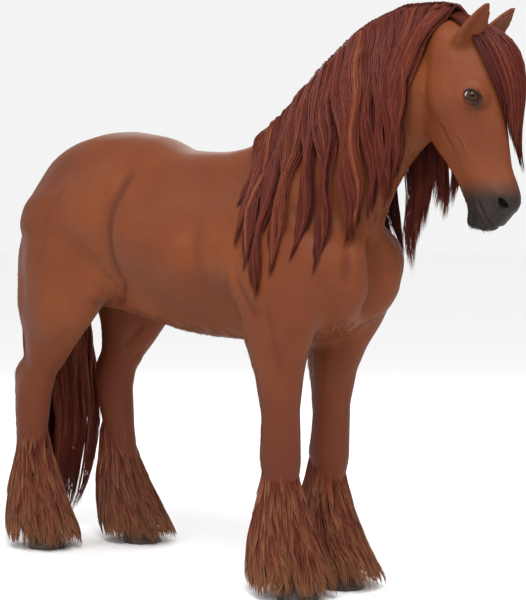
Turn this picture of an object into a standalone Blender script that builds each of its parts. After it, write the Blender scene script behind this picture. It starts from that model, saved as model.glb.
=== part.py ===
"""A heavy cob with a long mane and feathered feet, standing at rest, life size.

Metres. +X is forward, +Y the horse's left, +Z up. The body is lofted from named sections, rounded with
muscle forms, melted into one surface and then parted with thin cuts. Hair masses are bundles of big
locks that rest on the body, carved so that they meet it face to face.
"""

import math

import bmesh
import bpy
import numpy as np
from mathutils import Matrix, Vector
from mathutils.bvhtree import BVHTree

# Sizes that drive the rest
GAP = 0.0003  # left between pieces that touch
BODY_VOXEL = 0.008
BLEND_ROUNDS = 30  # how far creases between the body's forms soften
RELAX_ROUNDS = 4  # undoes the folds that muscle forms leave where they meet
HAIR_VOXEL = 0.008
BODY_TRIANGLES = 2440
HAIR_TRIANGLES = {"mane_right": 600, "mane_left": 340, "forelock": 170, "tail": 350}
RING = 24  # points round a loft
DETAIL_COST = 0.09  # how dearly a fine place gives up its triangles, against its change of shape

# The middle of the whole box on the horse's own axes, which becomes the origin
MIDDLE = Vector((0.201, 0.0, 0.0))

# Head: the poll is its origin, u runs down the face, v out through the forehead and w to its left
POLL = Vector((1.112, 0.05, 1.765))
HEAD_YAW = math.radians(10)
FACE_LEAN = math.radians(14)  # from the vertical
MUZZLE_SLANT = 0.016  # how much further down the chin reaches than the nose, each way from the middle
EYE_RADIUS = 0.026
EYE = (0.235, 0.006, 0.080)

# Colours of the finished coat, hair and horn, and the roughness of each
COAT = (0.26, 0.085, 0.030)
HAIR = (0.105, 0.026, 0.018)
HORN = (0.060, 0.040, 0.030)
EYE_BROWN = (0.020, 0.009, 0.005)

# Trunk sections across X: x, top, bottom, and half widths near the top, in the middle and near the bottom
TRUNK = (
    (-0.745, 1.205, 1.055, 0.050, 0.070, 0.050),
    (-0.712, 1.330, 0.955, 0.130, 0.178, 0.115),
    (-0.640, 1.415, 0.885, 0.185, 0.250, 0.165),
    (-0.510, 1.460, 0.855, 0.205, 0.280, 0.190),
    (-0.350, 1.480, 0.845, 0.205, 0.278, 0.190),
    (-0.180, 1.462, 0.820, 0.210, 0.280, 0.220),
    (0.000, 1.406, 0.787, 0.185, 0.300, 0.230),
    (0.150, 1.400, 0.775, 0.175, 0.302, 0.220),
    (0.270, 1.415, 0.773, 0.135, 0.280, 0.195),
    (0.400, 1.470, 0.775, 0.095, 0.240, 0.170),
    (0.520, 1.465, 0.780, 0.110, 0.225, 0.165),
    (0.640, 1.355, 0.800, 0.138, 0.226, 0.204),
    (0.745, 1.235, 0.860, 0.118, 0.188, 0.172),
    (0.805, 1.135, 0.945, 0.064, 0.104, 0.086),
)

# Neck sections from the withers to the poll: crest x, z; throat x, z; how far left; three half widths
NECK = (
    (0.330, 1.405, 0.700, 0.935, 0.000, 0.085, 0.200, 0.150),
    (0.420, 1.500, 0.775, 1.055, 0.000, 0.072, 0.175, 0.135),
    (0.500, 1.575, 0.805, 1.145, 0.002, 0.060, 0.148, 0.115),
    (0.640, 1.684, 0.845, 1.235, 0.010, 0.052, 0.125, 0.098),
    (0.790, 1.760, 0.895, 1.320, 0.024, 0.047, 0.108, 0.086),
    (0.930, 1.793, 0.950, 1.385, 0.038, 0.045, 0.096, 0.078),
    (1.050, 1.787, 1.020, 1.445, 0.048, 0.040, 0.080, 0.066),
)

# Head sections down the face: u, front v, back v, and half widths at the front, middle and back
HEAD = (
    (-0.020, -0.015, -0.110, 0.028, 0.040, 0.030),
    (0.010, 0.012, -0.140, 0.048, 0.064, 0.048),
    (0.060, 0.045, -0.172, 0.062, 0.082, 0.058),
    (0.120, 0.066, -0.196, 0.070, 0.093, 0.064),
    (0.190, 0.072, -0.210, 0.070, 0.092, 0.066),
    (0.260, 0.067, -0.212, 0.057, 0.082, 0.062),
    (0.330, 0.059, -0.197, 0.046, 0.069, 0.052),
    (0.396, 0.051, -0.168, 0.040, 0.058, 0.043),
    (0.462, 0.044, -0.146, 0.038, 0.053, 0.040),
    (0.520, 0.050, -0.132, 0.041, 0.056, 0.043),
    (0.567, 0.050, -0.127, 0.042, 0.056, 0.044),
    (0.598, 0.032, -0.110, 0.037, 0.048, 0.039),
    (0.615, 0.000, -0.074, 0.018, 0.028, 0.023),
)

# Foreleg sections from the shoulder down: front x, z; back x, z; how far out; three half widths
FORELEG = (
    (0.700, 1.135, 0.420, 1.135, 0.170, 0.060, 0.075, 0.060),
    (0.730, 0.975, 0.376, 0.975, 0.180, 0.074, 0.086, 0.076),
    (0.702, 0.855, 0.398, 0.845, 0.172, 0.076, 0.090, 0.068),
    (0.652, 0.755, 0.424, 0.745, 0.161, 0.070, 0.083, 0.058),
    (0.616, 0.655, 0.450, 0.645, 0.151, 0.064, 0.072, 0.049),
    (0.600, 0.555, 0.462, 0.550, 0.144, 0.058, 0.064, 0.048),
    (0.600, 0.475, 0.458, 0.475, 0.141, 0.059, 0.065, 0.051),
    (0.600, 0.425, 0.452, 0.427, 0.139, 0.059, 0.066, 0.053),
    (0.595, 0.370, 0.462, 0.370, 0.138, 0.049, 0.057, 0.048),
    (0.581, 0.302, 0.472, 0.302, 0.137, 0.043, 0.049, 0.042),
    (0.583, 0.247, 0.462, 0.242, 0.136, 0.047, 0.053, 0.048),
    (0.597, 0.201, 0.458, 0.192, 0.136, 0.051, 0.058, 0.050),
    (0.613, 0.146, 0.492, 0.128, 0.135, 0.042, 0.049, 0.043),
    (0.632, 0.100, 0.510, 0.075, 0.134, 0.046, 0.056, 0.048),
    (0.640, 0.070, 0.508, 0.045, 0.134, 0.048, 0.058, 0.050),
)

# Hind leg sections from the hip down, in the same way
HINDLEG = (
    (-0.260, 1.305, -0.630, 1.275, 0.120, 0.070, 0.095, 0.070),
    (-0.220, 1.155, -0.725, 1.155, 0.145, 0.090, 0.120, 0.080),
    (-0.220, 1.035, -0.745, 1.035, 0.160, 0.090, 0.130, 0.086),
    (-0.235, 0.945, -0.735, 0.935, 0.170, 0.076, 0.122, 0.086),
    (-0.300, 0.855, -0.722, 0.855, 0.180, 0.070, 0.104, 0.080),
    (-0.400, 0.765, -0.708, 0.765, 0.172, 0.062, 0.082, 0.060),
    (-0.499, 0.675, -0.723, 0.685, 0.162, 0.055, 0.067, 0.041),
    (-0.574, 0.605, -0.764, 0.625, 0.156, 0.053, 0.060, 0.039),
    (-0.606, 0.535, -0.778, 0.550, 0.152, 0.053, 0.060, 0.045),
    (-0.620, 0.465, -0.776, 0.470, 0.150, 0.050, 0.058, 0.047),
    (-0.632, 0.385, -0.768, 0.385, 0.150, 0.046, 0.052, 0.046),
    (-0.636, 0.302, -0.772, 0.302, 0.151, 0.046, 0.052, 0.046),
    (-0.639, 0.237, -0.780, 0.233, 0.152, 0.050, 0.057, 0.051),
    (-0.623, 0.192, -0.772, 0.178, 0.152, 0.051, 0.059, 0.052),
    (-0.603, 0.137, -0.730, 0.114, 0.153, 0.043, 0.050, 0.045),
    (-0.584, 0.098, -0.704, 0.073, 0.154, 0.044, 0.054, 0.048),
    (-0.574, 0.068, -0.700, 0.043, 0.154, 0.046, 0.056, 0.050),
)
HIND_SWING = 0.165  # how much further forward the left hind foot stands
SWING_FROM = 0.98
SWING_TO = 0.18

# Swells of one side, which rise out of the skin: middle, reach, turn about Y in degrees, height
SWELLS = {
    "shoulder_blade": ((0.500, 0.200, 1.215), (0.110, 0.180, 0.260), 33, 0.016),
    "triceps": ((0.410, 0.250, 0.995), (0.170, 0.160, 0.150), 20, 0.026),
    "point_of_shoulder": ((0.720, 0.170, 1.065), (0.110, 0.120, 0.130), 0, 0.020),
    "breast": ((0.770, 0.085, 0.975), (0.140, 0.100, 0.200), -10, 0.026),
    "forearm": ((0.520, 0.240, 0.815), (0.130, 0.100, 0.130), 0, 0.012),
    "croup": ((-0.400, 0.160, 1.440), (0.270, 0.130, 0.130), -6, 0.020),
    "point_of_hip": ((-0.225, 0.250, 1.345), (0.090, 0.100, 0.080), 0, 0.020),
    "thigh": ((-0.560, 0.300, 1.105), (0.190, 0.160, 0.250), -10, 0.018),
    "stifle": ((-0.290, 0.260, 0.935), (0.100, 0.120, 0.120), -20, 0.026),
    "gaskin": ((-0.470, 0.240, 0.805), (0.110, 0.100, 0.130), -25, 0.010),
    "point_of_hock": ((-0.765, 0.150, 0.615), (0.060, 0.080, 0.060), 0, 0.010),
}

# Hollows of one side, pressed in along a line: places on the line, half width, depth
HOLLOWS = {
    "flank": (((-0.215, 0.27, 1.285), (-0.175, 0.30, 1.155), (-0.180, 0.28, 1.015)), 0.060, 0.016),
    "behind_shoulder": (((0.260, 0.25, 1.305), (0.255, 0.28, 1.095), (0.290, 0.24, 0.895)), 0.070, 0.014),
    "before_shoulder": (((0.580, 0.12, 1.415), (0.690, 0.17, 1.215)), 0.060, 0.009),
    "between_breasts": (((0.810, 0.00, 1.095), (0.790, 0.00, 0.855)), 0.050, 0.020),
    "back_of_thigh": (((-0.650, 0.20, 1.305), (-0.690, 0.27, 1.095), (-0.640, 0.25, 0.875)), 0.040, 0.008),
    "side_of_hock": (((-0.690, 0.22, 0.735), (-0.680, 0.20, 0.625)), 0.040, 0.010),
}

# Swells of one side of the head, at u, v, w: middle, reach, turn about w in degrees, height
HEAD_SWELLS = {
    "cheek": ((0.220, -0.100, 0.085), (0.120, 0.090, 0.060), 0, 0.011),
    "brow": ((0.190, 0.040, 0.090), (0.050, 0.032, 0.050), -8, 0.013),
    "below_eye": ((0.285, 0.000, 0.085), (0.045, 0.028, 0.050), 0, 0.005),
    "cheek_ridge": ((0.330, -0.018, 0.075), (0.100, 0.017, 0.050), -5, 0.008),
    "nostril_wing": ((0.556, 0.010, 0.055), (0.045, 0.034, 0.040), -10, 0.010),
    "upper_lip": ((0.625, -0.015, 0.020), (0.040, 0.050, 0.045), 0, 0.006),
    "chin": ((0.582, -0.122, 0.010), (0.035, 0.030, 0.040), 0, 0.010),
}

# Hollows of one side of the head, at u, v, w, in the same way
HEAD_HOLLOWS = {
    "temple": (((0.120, 0.045, 0.085), (0.150, 0.060, 0.075)), 0.030, 0.008),
    "side_of_nose": (((0.330, 0.030, 0.060), (0.480, 0.010, 0.050)), 0.035, 0.007),
    "jaw_gap": (((0.280, -0.205, 0.000), (0.420, -0.162, 0.000), (0.520, -0.130, 0.000)), 0.026, 0.008),
    "corner_of_mouth": (((0.520, -0.055, 0.050), (0.600, -0.052, 0.040)), 0.012, 0.005),
}

# Ears, at u, v, w of the right one's mirror: root and tip, and the half width and half depth
EAR_ROOT = (0.078, -0.022, 0.050)
EAR_TIP = (-0.014, 0.126, 0.084)
EAR_HALF_WIDTH = 0.043
EAR_HALF_DEPTH = 0.024
EAR_OUTWARD = {"ear_right": 0.35, "ear_left": -0.22}  # the left one turns its open side in towards the right
# How far along the ear, then width, depth and hollow there
EAR_SHAPE = (
    (0.00, 0.60, 0.80, 0.0),
    (0.18, 0.82, 0.90, 0.3),
    (0.38, 1.00, 0.85, 0.9),
    (0.60, 0.92, 0.70, 0.9),
    (0.80, 0.62, 0.50, 0.6),
    (0.94, 0.28, 0.30, 0.2),
    (1.00, 0.06, 0.08, 0.0),
)

# Hoof: radii at the ground and at the coronet, how high the coronet stands at toe and heel, and how far
# the toe runs ahead of the coronet
HOOF_GROUND = 0.074
HOOF_CORONET = 0.061
HOOF_TOE = 0.086
HOOF_HEEL = 0.050
HOOF_LEAN = 0.026
HOOVES = {
    "fore_right": (0.595, -0.134),
    "fore_left": (0.590, 0.084),
    "hind_right": (-0.608, -0.154),
    "hind_left": (-0.450, 0.156),
}
FORE_LEFT_OUT = 0.63  # the left foreleg stands closer in than the right, by this factor

# Mane locks of one side: x of the root on the crest, then x and z of the tip
MANE_RIGHT = (
    (1.070, 0.965, 1.500),
    (1.045, 0.958, 1.400),
    (1.005, 0.955, 1.330),
    (0.955, 0.940, 1.270),
    (0.905, 0.925, 1.235),
    (0.855, 0.905, 1.195),
    (0.800, 0.867, 1.160),
    (0.745, 0.820, 1.110),
    (0.690, 0.795, 1.080),
    (0.635, 0.734, 0.990),
    (0.580, 0.668, 1.030),
    (0.530, 0.600, 0.975),
    (0.480, 0.541, 0.905),
    (0.430, 0.495, 1.000),
    (0.385, 0.448, 1.070),
    (0.362, 0.415, 1.205),
)
MANE_LEFT = (
    (1.070, 0.996, 1.195),
    (1.030, 0.953, 1.155),
    (0.980, 0.925, 1.190),
    (0.925, 0.884, 1.125),
    (0.870, 0.858, 1.070),
    (0.800, 0.826, 0.990),
    (0.730, 0.740, 1.030),
    (0.660, 0.670, 1.040),
    (0.590, 0.600, 0.980),
    (0.520, 0.545, 0.930),
    (0.450, 0.500, 1.010),
    (0.385, 0.450, 1.090),
    (0.335, 0.410, 1.200),
)
MANE_STANDS = 0.010  # how far the roots stand above the crest
MANE_FROM = 0.36  # the ridge of upright hair runs from the withers
MANE_TO = 1.12  # to between the ears
RIDGE_HALF_WIDTH = 0.062
RIDGE_HEIGHT = 0.040
LOCK_HALF_WIDTH = 0.050
LOCK_HALF_DEPTH = 0.026

# Forelock locks on the head: u, v, w down the lock
FORELOCK = (
    (
        (-0.010, 0.005, -0.020),
        (0.060, 0.052, -0.028),
        (0.130, 0.072, -0.030),
        (0.200, 0.078, -0.020),
        (0.280, 0.080, -0.002),
    ),
    (
        (-0.010, 0.010, -0.006),
        (0.080, 0.076, -0.002),
        (0.180, 0.094, 0.008),
        (0.290, 0.082, 0.016),
        (0.400, 0.064, 0.024),
    ),
    (
        (-0.005, 0.018, 0.012),
        (0.090, 0.090, 0.036),
        (0.200, 0.102, 0.046),
        (0.320, 0.084, 0.048),
        (0.460, 0.060, 0.048),
    ),
    (
        (-0.005, 0.018, 0.030),
        (0.090, 0.094, 0.060),
        (0.200, 0.102, 0.074),
        (0.340, 0.072, 0.074),
        (0.490, 0.044, 0.072),
    ),
)

# Tail: x, y, z, half width and half depth down its length
TAIL = (
    (-0.700, 0.000, 1.325, 0.045, 0.035),
    (-0.785, 0.002, 1.255, 0.060, 0.045),
    (-0.805, 0.006, 1.155, 0.080, 0.055),
    (-0.810, 0.022, 0.975, 0.112, 0.062),
    (-0.808, 0.050, 0.775, 0.137, 0.066),
    (-0.798, 0.070, 0.575, 0.150, 0.068),
    (-0.788, 0.085, 0.385, 0.150, 0.064),
    (-0.795, 0.082, 0.230, 0.125, 0.052),
    (-0.790, 0.085, 0.110, 0.080, 0.034),
    (-0.790, 0.085, 0.040, 0.012, 0.012),
)

# Feather over the hooves: height, then how far it reaches before, behind and beside the leg's middle
FEATHER = (
    (0.410, 0.062, 0.070, 0.054),
    (0.330, 0.072, 0.090, 0.067),
    (0.240, 0.094, 0.120, 0.088),
    (0.150, 0.124, 0.138, 0.108),
    (0.060, 0.150, 0.146, 0.124),
    (0.006, 0.146, 0.140, 0.118),
)
FEATHER_POINTS = 12
FEATHER_MIDDLES = {
    "fore_right": ((0.410, 0.530, -0.138), (0.200, 0.540, -0.132), (0.006, 0.572, -0.128)),
    "fore_left": ((0.410, 0.520, 0.086), (0.200, 0.526, 0.088), (0.006, 0.575, 0.106)),
    "hind_right": ((0.410, -0.690, -0.148), (0.200, -0.672, -0.144), (0.006, -0.618, -0.150)),
    "hind_left": ((0.410, -0.590, 0.150), (0.200, -0.532, 0.153), (0.006, -0.464, 0.163)),
}

# Cuts that part the body: a place on the plane and its normal
THROAT_CUT = ((0.998, 0.0, 1.585), (0.981, 0.0, -0.194))
NECK_CUT = ((0.590, 0.0, 1.295), (0.640, 0.0, 0.768))
FORE_CUT = (0.520, 0.170, 0.846, 25)  # x, distance out, z, and how steeply it rises outwards
HIND_CUT = (-0.500, 0.170, 0.930, 30)
# Room of each leg: foremost and hindmost x, and how near the middle it comes
FORE_ROOM = {"right": (0.740, 0.330, 0.045), "left": (0.740, 0.330, 0.006)}
HIND_ROOM = {"right": (-0.150, -0.860, 0.004), "left": (-0.150, -0.860, 0.004)}


def curve_through(keys, values, at):
    """Values at `at` on a smooth curve through (keys, values) that never overshoots between two keys."""
    keys, values = np.asarray(keys, float), np.asarray(values, float)
    step = np.diff(keys)[:, None]
    slope = np.diff(values, axis=0) / step
    tangent = np.zeros_like(values)
    tangent[0], tangent[-1] = slope[0], slope[-1]
    same = slope[:-1] * slope[1:] > 0
    mean = 2 * slope[:-1] * slope[1:] / np.where(same, slope[:-1] + slope[1:], 1)
    tangent[1:-1] = np.where(same, mean, 0)
    i = np.clip(np.searchsorted(keys, at, side="right") - 1, 0, len(keys) - 2)
    h = (keys[i + 1] - keys[i])[:, None]
    t = ((at - keys[i])[:, None]) / h
    return (
        values[i] * (1 + 2 * t) * (1 - t) ** 2
        + tangent[i] * h * t * (1 - t) ** 2
        + values[i + 1] * t**2 * (3 - 2 * t)
        + tangent[i + 1] * h * t**2 * (t - 1)
    )


def smooth_step(t):
    t = min(max(t, 0.0), 1.0)
    return t * t * (3 - 2 * t)


def section(front, back, side, widths, squareness=2.5):
    """A closed ring from front round to back, whose half width follows a curve through three widths."""
    middle, half = (front + back) / 2, (front - back) / 2
    upper, centre, lower = widths
    bend, lean = (upper + lower) / 2 - centre, (upper - lower) / 2
    points = []
    for k in range(RING):
        angle = 2 * math.pi * k / RING
        s = math.cos(angle)
        share = (1 - abs(s) ** squareness) ** (1 / squareness)
        reach = s / 0.6
        width = (centre + lean * reach + bend * reach**2) if abs(s) < 0.6 else (upper if s > 0 else lower)
        points.append(middle + half * s + side * (math.copysign(share, math.sin(angle)) * width))
    return points


def loft(name, rings):
    """A closed mesh through the rings, capped at both ends."""
    bm = bmesh.new()
    rows = [[bm.verts.new(p) for p in ring] for ring in rings]
    for low, high in zip(rows, rows[1:]):
        for i in range(len(low)):
            j = (i + 1) % len(low)
            bm.faces.new((low[i], low[j], high[j], high[i]))
    bm.faces.new(rows[0])
    bm.faces.new(rows[-1])
    bmesh.ops.recalc_face_normals(bm, faces=bm.faces)
    bmesh.ops.triangulate(bm, faces=bm.faces)
    return mesh_object(name, bm)


def mesh_object(name, bm):
    mesh = bpy.data.meshes.new(name)
    bm.to_mesh(mesh)
    bm.free()
    obj = bpy.data.objects.new(name, mesh)
    bpy.context.scene.collection.objects.link(obj)
    return obj


def resampled(stations, count):
    """The stations' numbers along a smooth curve, evenly by the distance between their middles."""
    table = np.array(stations)
    middles = (table[:, 0:2] + table[:, 2:4]) / 2 if table.shape[1] == 8 else table[:, 0:1]
    along = np.concatenate([[0], np.cumsum(np.linalg.norm(np.diff(middles, axis=0), axis=1))])
    return curve_through(along, table, np.linspace(0, along[-1], count))


def head_matrix():
    """Turns head places (v, w, -u) into places on the horse."""
    lean = Matrix.Rotation(-FACE_LEAN, 4, "Y")
    return Matrix.Translation(POLL) @ Matrix.Rotation(HEAD_YAW, 4, "Z") @ lean


def on_head(u, v, w):
    return head_matrix() @ Vector((v, w, -u))


def head_side():
    return head_matrix().to_3x3() @ Vector((0, 1, 0))


def trunk_loft():
    rings = []
    for x, top, bottom, *widths in resampled(TRUNK, 60):
        rings.append(section(Vector((x, 0, top)), Vector((x, 0, bottom)), Vector((0, 1, 0)), widths, 2.2))
    return loft("trunk_form", rings)


def neck_rows(count):
    return resampled(NECK, count)


def neck_loft():
    rings = []
    for top_x, top_z, low_x, low_z, left, *widths in neck_rows(36):
        top, low = Vector((top_x, left, top_z)), Vector((low_x, left, low_z))
        rings.append(section(top, low, Vector((0, 1, 0)), widths, 2.3))
    return loft("neck_form", rings)


def head_loft():
    rings = []
    for u, front, back, *widths in resampled(HEAD, 56):
        slant = MUZZLE_SLANT * smooth_step((u - 0.45) / 0.15)
        rings.append(
            section(on_head(u - slant, front, 0), on_head(u + slant, back, 0), head_side(), widths, 2.4)
        )
    return loft("head_form", rings)


def swing_of(z, left_hind):
    """How far forward the leg stands at that height."""
    return HIND_SWING * smooth_step((SWING_FROM - z) / (SWING_FROM - SWING_TO)) if left_hind else 0.0


def leg_loft(name, stations, side, left_hind=False):
    rings = []
    for front_x, front_z, back_x, back_z, out, *widths in resampled(stations, 64):
        if name == "fore_left":
            out *= 1 + (FORE_LEFT_OUT - 1) * smooth_step((1.0 - front_z) / 0.3)
        front = Vector((front_x + swing_of(front_z, left_hind), side * out, front_z))
        back = Vector((back_x + swing_of(back_z, left_hind), side * out, back_z))
        rings.append(section(front, back, Vector((0, 1, 0)), widths, 2.2))
    return loft(name, rings)


def rise(places, middle, axes, reach, height):
    """How far each place rises on one swell, a smooth dome over the reach along the three axes."""
    away = ((places - middle) @ axes) / reach
    inside = np.clip(1 - (away**2).sum(axis=1), 0, 1)
    return height * inside**2


def sink(places, line, half_width, depth):
    """How far each place sinks in one hollow along the line."""
    nearest = np.full(len(places), np.inf)
    for start, end in zip(line, line[1:]):
        along = end - start
        share = np.clip((places - start) @ along / (along @ along), 0, 1)
        nearest = np.minimum(nearest, np.linalg.norm(places - start - share[:, None] * along, axis=1))
    return -depth * np.clip(1 - (nearest / half_width) ** 2, 0, 1) ** 2


def places_of(mesh):
    places = np.empty(len(mesh.vertices) * 3)
    mesh.vertices.foreach_get("co", places)
    return places.reshape(-1, 3)


def normals_of(mesh):
    normals = np.empty(len(mesh.vertices) * 3, np.float32)
    mesh.vertex_normals.foreach_get("vector", normals)
    return normals.reshape(-1, 3).astype(float)


def move_to(mesh, places):
    mesh.vertices.foreach_set("co", places.ravel())
    mesh.update()


def turn_about_y(degrees):
    return np.array(Matrix.Rotation(math.radians(degrees), 3, "Y"))


def shape_muscles(obj):
    """Raises the swells and presses the hollows of both sides into the dense skin."""
    mesh = obj.data
    places, height = places_of(mesh), np.zeros(len(mesh.vertices))
    head = np.array(head_matrix())
    head_axes, poll = head[:3, :3], head[:3, 3]
    for side in (-1, 1):
        mirror = np.array((1, side, 1))
        for middle, reach, turn, tall in SWELLS.values():
            height += rise(places, np.array(middle) * mirror, turn_about_y(turn), reach, tall)
        for line, half_width, depth in HOLLOWS.values():
            height += sink(places, [np.array(p) * mirror for p in line], half_width, depth)
        for (u, v, w), (along, front, out), turn, tall in HEAD_SWELLS.values():
            middle = poll + head_axes @ np.array((v, side * w, -u))
            axes = head_axes @ turn_about_y(turn)
            height += rise(places, middle, axes, (front, out, along), tall)
        for line, half_width, depth in HEAD_HOLLOWS.values():
            points = [poll + head_axes @ np.array((v, side * w, -u)) for u, v, w in line]
            height += sink(places, points, half_width, depth)
    move_to(mesh, places + normals_of(mesh) * height[:, None])


def joined(name, objects):
    """One object that holds all these meshes."""
    bm = bmesh.new()
    for obj in objects:
        obj.data.transform(obj.matrix_world)
        bm.from_mesh(obj.data)
        bpy.data.objects.remove(obj)
    return mesh_object(name, bm)


def applied(obj):
    """Replaces the object's mesh by what its modifiers make of it."""
    graph = bpy.context.evaluated_depsgraph_get()
    mesh = bpy.data.meshes.new_from_object(obj.evaluated_get(graph))
    obj.modifiers.clear()
    obj.data = mesh
    return obj


def melted(obj, voxel, rounds, softness=None):
    """Overlapping forms made one skin, with the creases softened, by as much as softness(place) says."""
    remesh = obj.modifiers.new("melt", "REMESH")
    remesh.mode = "VOXEL"
    remesh.voxel_size = voxel
    return softened(applied(obj), rounds, softness)


def softened(obj, rounds, softness=None):
    soften = obj.modifiers.new("soften", "SMOOTH")
    soften.factor = 0.5
    soften.iterations = rounds
    if softness:
        obj.vertex_groups.clear()
        weigh(obj, "soft", softness)
        soften.vertex_group = "soft"
    return applied(obj)


def weigh(obj, name, weight):
    group = obj.vertex_groups.new(name=name)
    for vertex in obj.data.vertices:
        group.add([vertex.index], weight(vertex.co), "REPLACE")


def thinned(obj, triangles, detail=None):
    """The mesh brought down to about that many triangles, fewer of them lost where detail(place) is 1."""
    now = 2 * len(obj.data.polygons)
    decimate = obj.modifiers.new("thin", "DECIMATE")
    decimate.ratio = triangles / now
    decimate.use_collapse_triangulate = True
    if detail:
        weigh(obj, "plain", lambda place: 1.0 - 0.5 * detail(place))
        decimate.vertex_group = "plain"
        decimate.vertex_group_factor = DETAIL_COST
    return applied(obj)


def head_detail(place):
    return 1.0 if place.x > 0.97 and place.z > 1.1 else 0.0


def whole_body():
    forms = [trunk_loft(), neck_loft(), head_loft()]
    for side, name in ((-1, "right"), (1, "left")):
        forms.append(leg_loft("fore_" + name, FORELEG, side))
        forms.append(leg_loft("hind_" + name, HINDLEG, side, left_hind=side > 0))
    body = melted(joined("body", forms), BODY_VOXEL, BLEND_ROUNDS, body_softness)
    shape_muscles(body)
    return softened(body, RELAX_ROUNDS, body_softness)


def body_softness(place):
    """How much the creases soften: fully on the trunk, less on the head and down the legs."""
    head = smooth_step((place.x - 0.86) / 0.16) * smooth_step((place.z - 1.1) / 0.1)
    leg = smooth_step((0.86 - place.z) / 0.20)
    return 1.0 - 0.85 * max(head, leg)


def half_space(name, place, normal, size=3.0):
    """A big box that holds everything ahead of the plane."""
    bm = bmesh.new()
    bmesh.ops.create_cube(bm, size=size)
    turn = Vector(normal).normalized().to_track_quat("Z", "Y").to_matrix().to_4x4()
    ahead = Matrix.Translation(Vector(place)) @ turn @ Matrix.Translation((0, 0, size / 2))
    bmesh.ops.transform(bm, matrix=ahead, verts=bm.verts)
    return helper(mesh_object(name, bm))


def leg_space(name, cut, side, front, back, inner, spare=0.0):
    """The space of one leg: a box below a plane that rises outwards, larger all round by the spare."""
    x, out, z, rise_out = cut
    lift = math.tan(math.radians(rise_out))
    bm = bmesh.new()
    corners = []
    for across in (inner - spare, 0.5):
        top = z + (across - out) * lift + spare / math.cos(math.radians(rise_out))
        for along in (back - spare, front + spare):
            ends = [(along, side * across, height) for height in (-0.1, top)]
            corners.append([bm.verts.new(end) for end in ends])
    back_in, front_in, back_out, front_out = corners
    loop = (back_in, front_in, front_out, back_out)
    for one, two in zip(loop, loop[1:] + loop[:1]):
        bm.faces.new((one[0], two[0], two[1], one[1]))
    for level in (0, 1):
        bm.faces.new([corner[level] for corner in loop])
    bmesh.ops.recalc_face_normals(bm, faces=bm.faces)
    return helper(mesh_object(name, bm))


def helper(obj):
    obj.hide_render = True
    obj.display_type = "WIRE"
    return obj


def copy_of(obj, name):
    twin = obj.copy()
    twin.data = obj.data.copy()
    twin.name = name
    bpy.context.scene.collection.objects.link(twin)
    return twin


def cut(obj, operation, tool, solver="EXACT"):
    boolean = obj.modifiers.new(operation.lower(), "BOOLEAN")
    boolean.operation = operation
    boolean.solver = solver
    boolean.object = tool
    return applied(obj)


def fattened(obj, by):
    """A helper copy whose skin stands that far out."""
    twin = helper(copy_of(obj, obj.name + "_room"))
    move_to(twin.data, places_of(twin.data) + normals_of(twin.data) * by)
    return twin


def main_piece(obj):
    """Drops all but the largest of the pieces a cut has left."""
    bm = bmesh.new()
    bm.from_mesh(obj.data)
    waiting, pieces = set(bm.verts), []
    while waiting:
        piece, edge = set(), [waiting.pop()]
        while edge:
            vertex = edge.pop()
            piece.add(vertex)
            for link in vertex.link_edges:
                other = link.other_vert(vertex)
                if other in waiting:
                    waiting.remove(other)
                    edge.append(other)
        pieces.append(piece)
    keep = max(pieces, key=len)
    bmesh.ops.delete(bm, geom=[v for v in bm.verts if v not in keep], context="VERTS")
    bmesh.ops.triangulate(bm, faces=bm.faces)
    bm.to_mesh(obj.data)
    bm.free()
    return obj


def parted_body(body):
    """The body's nodes, with thin cuts between them."""
    nodes = {}
    for name, (place, normal) in (("head", THROAT_CUT), ("neck", NECK_CUT)):
        ahead = half_space(name + "_cut", place, normal)
        nodes[name] = cut(copy_of(body, name), "INTERSECT", ahead)
        ahead.location -= Vector(normal).normalized() * GAP
        body = cut(body, "DIFFERENCE", ahead)
    for side, name in ((-1, "right"), (1, "left")):
        for kind, where, room in (("foreleg", FORE_CUT, FORE_ROOM), ("hindleg", HIND_CUT, HIND_ROOM)):
            leg = kind + "_" + name
            space = leg_space(leg + "_space", where, side, *room[name])
            nodes[leg] = cut(copy_of(body, leg), "INTERSECT", space)
            body = cut(body, "DIFFERENCE", leg_space(leg + "_room", where, side, *room[name], GAP))
    body.name = "trunk"
    nodes["trunk"] = body
    return {name: main_piece(node) for name, node in nodes.items()}


def coronet_height(ahead):
    """How high the coronet's sloping plane stands that far ahead of its middle."""
    return (HOOF_TOE + HOOF_HEEL) / 2 + (HOOF_TOE - HOOF_HEEL) / (2 * HOOF_CORONET) * ahead


def hoof(name, x, y):
    """A flat-soled hoof whose top slopes back with the coronet."""
    rings = []
    for share in (0.0, 0.5, 1.0):
        radius = HOOF_GROUND + (HOOF_CORONET - HOOF_GROUND) * share
        ring = []
        for k in range(20):
            angle = 2 * math.pi * k / 20
            ahead = math.cos(angle) * radius * (1 if math.cos(angle) > 0 else 0.84)
            height = share * coronet_height(ahead)
            place = (x + ahead - HOOF_LEAN * share, y + 0.94 * radius * math.sin(angle), height)
            ring.append(Vector(place))
        rings.append(ring)
    return loft("hoof_" + name, rings)


def coronet_plane(x, y):
    """A place on the coronet's plane and its normal."""
    return (x - HOOF_LEAN, y, coronet_height(0) + GAP), (-coronet_height(1) + coronet_height(0), 0, 1)


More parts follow.
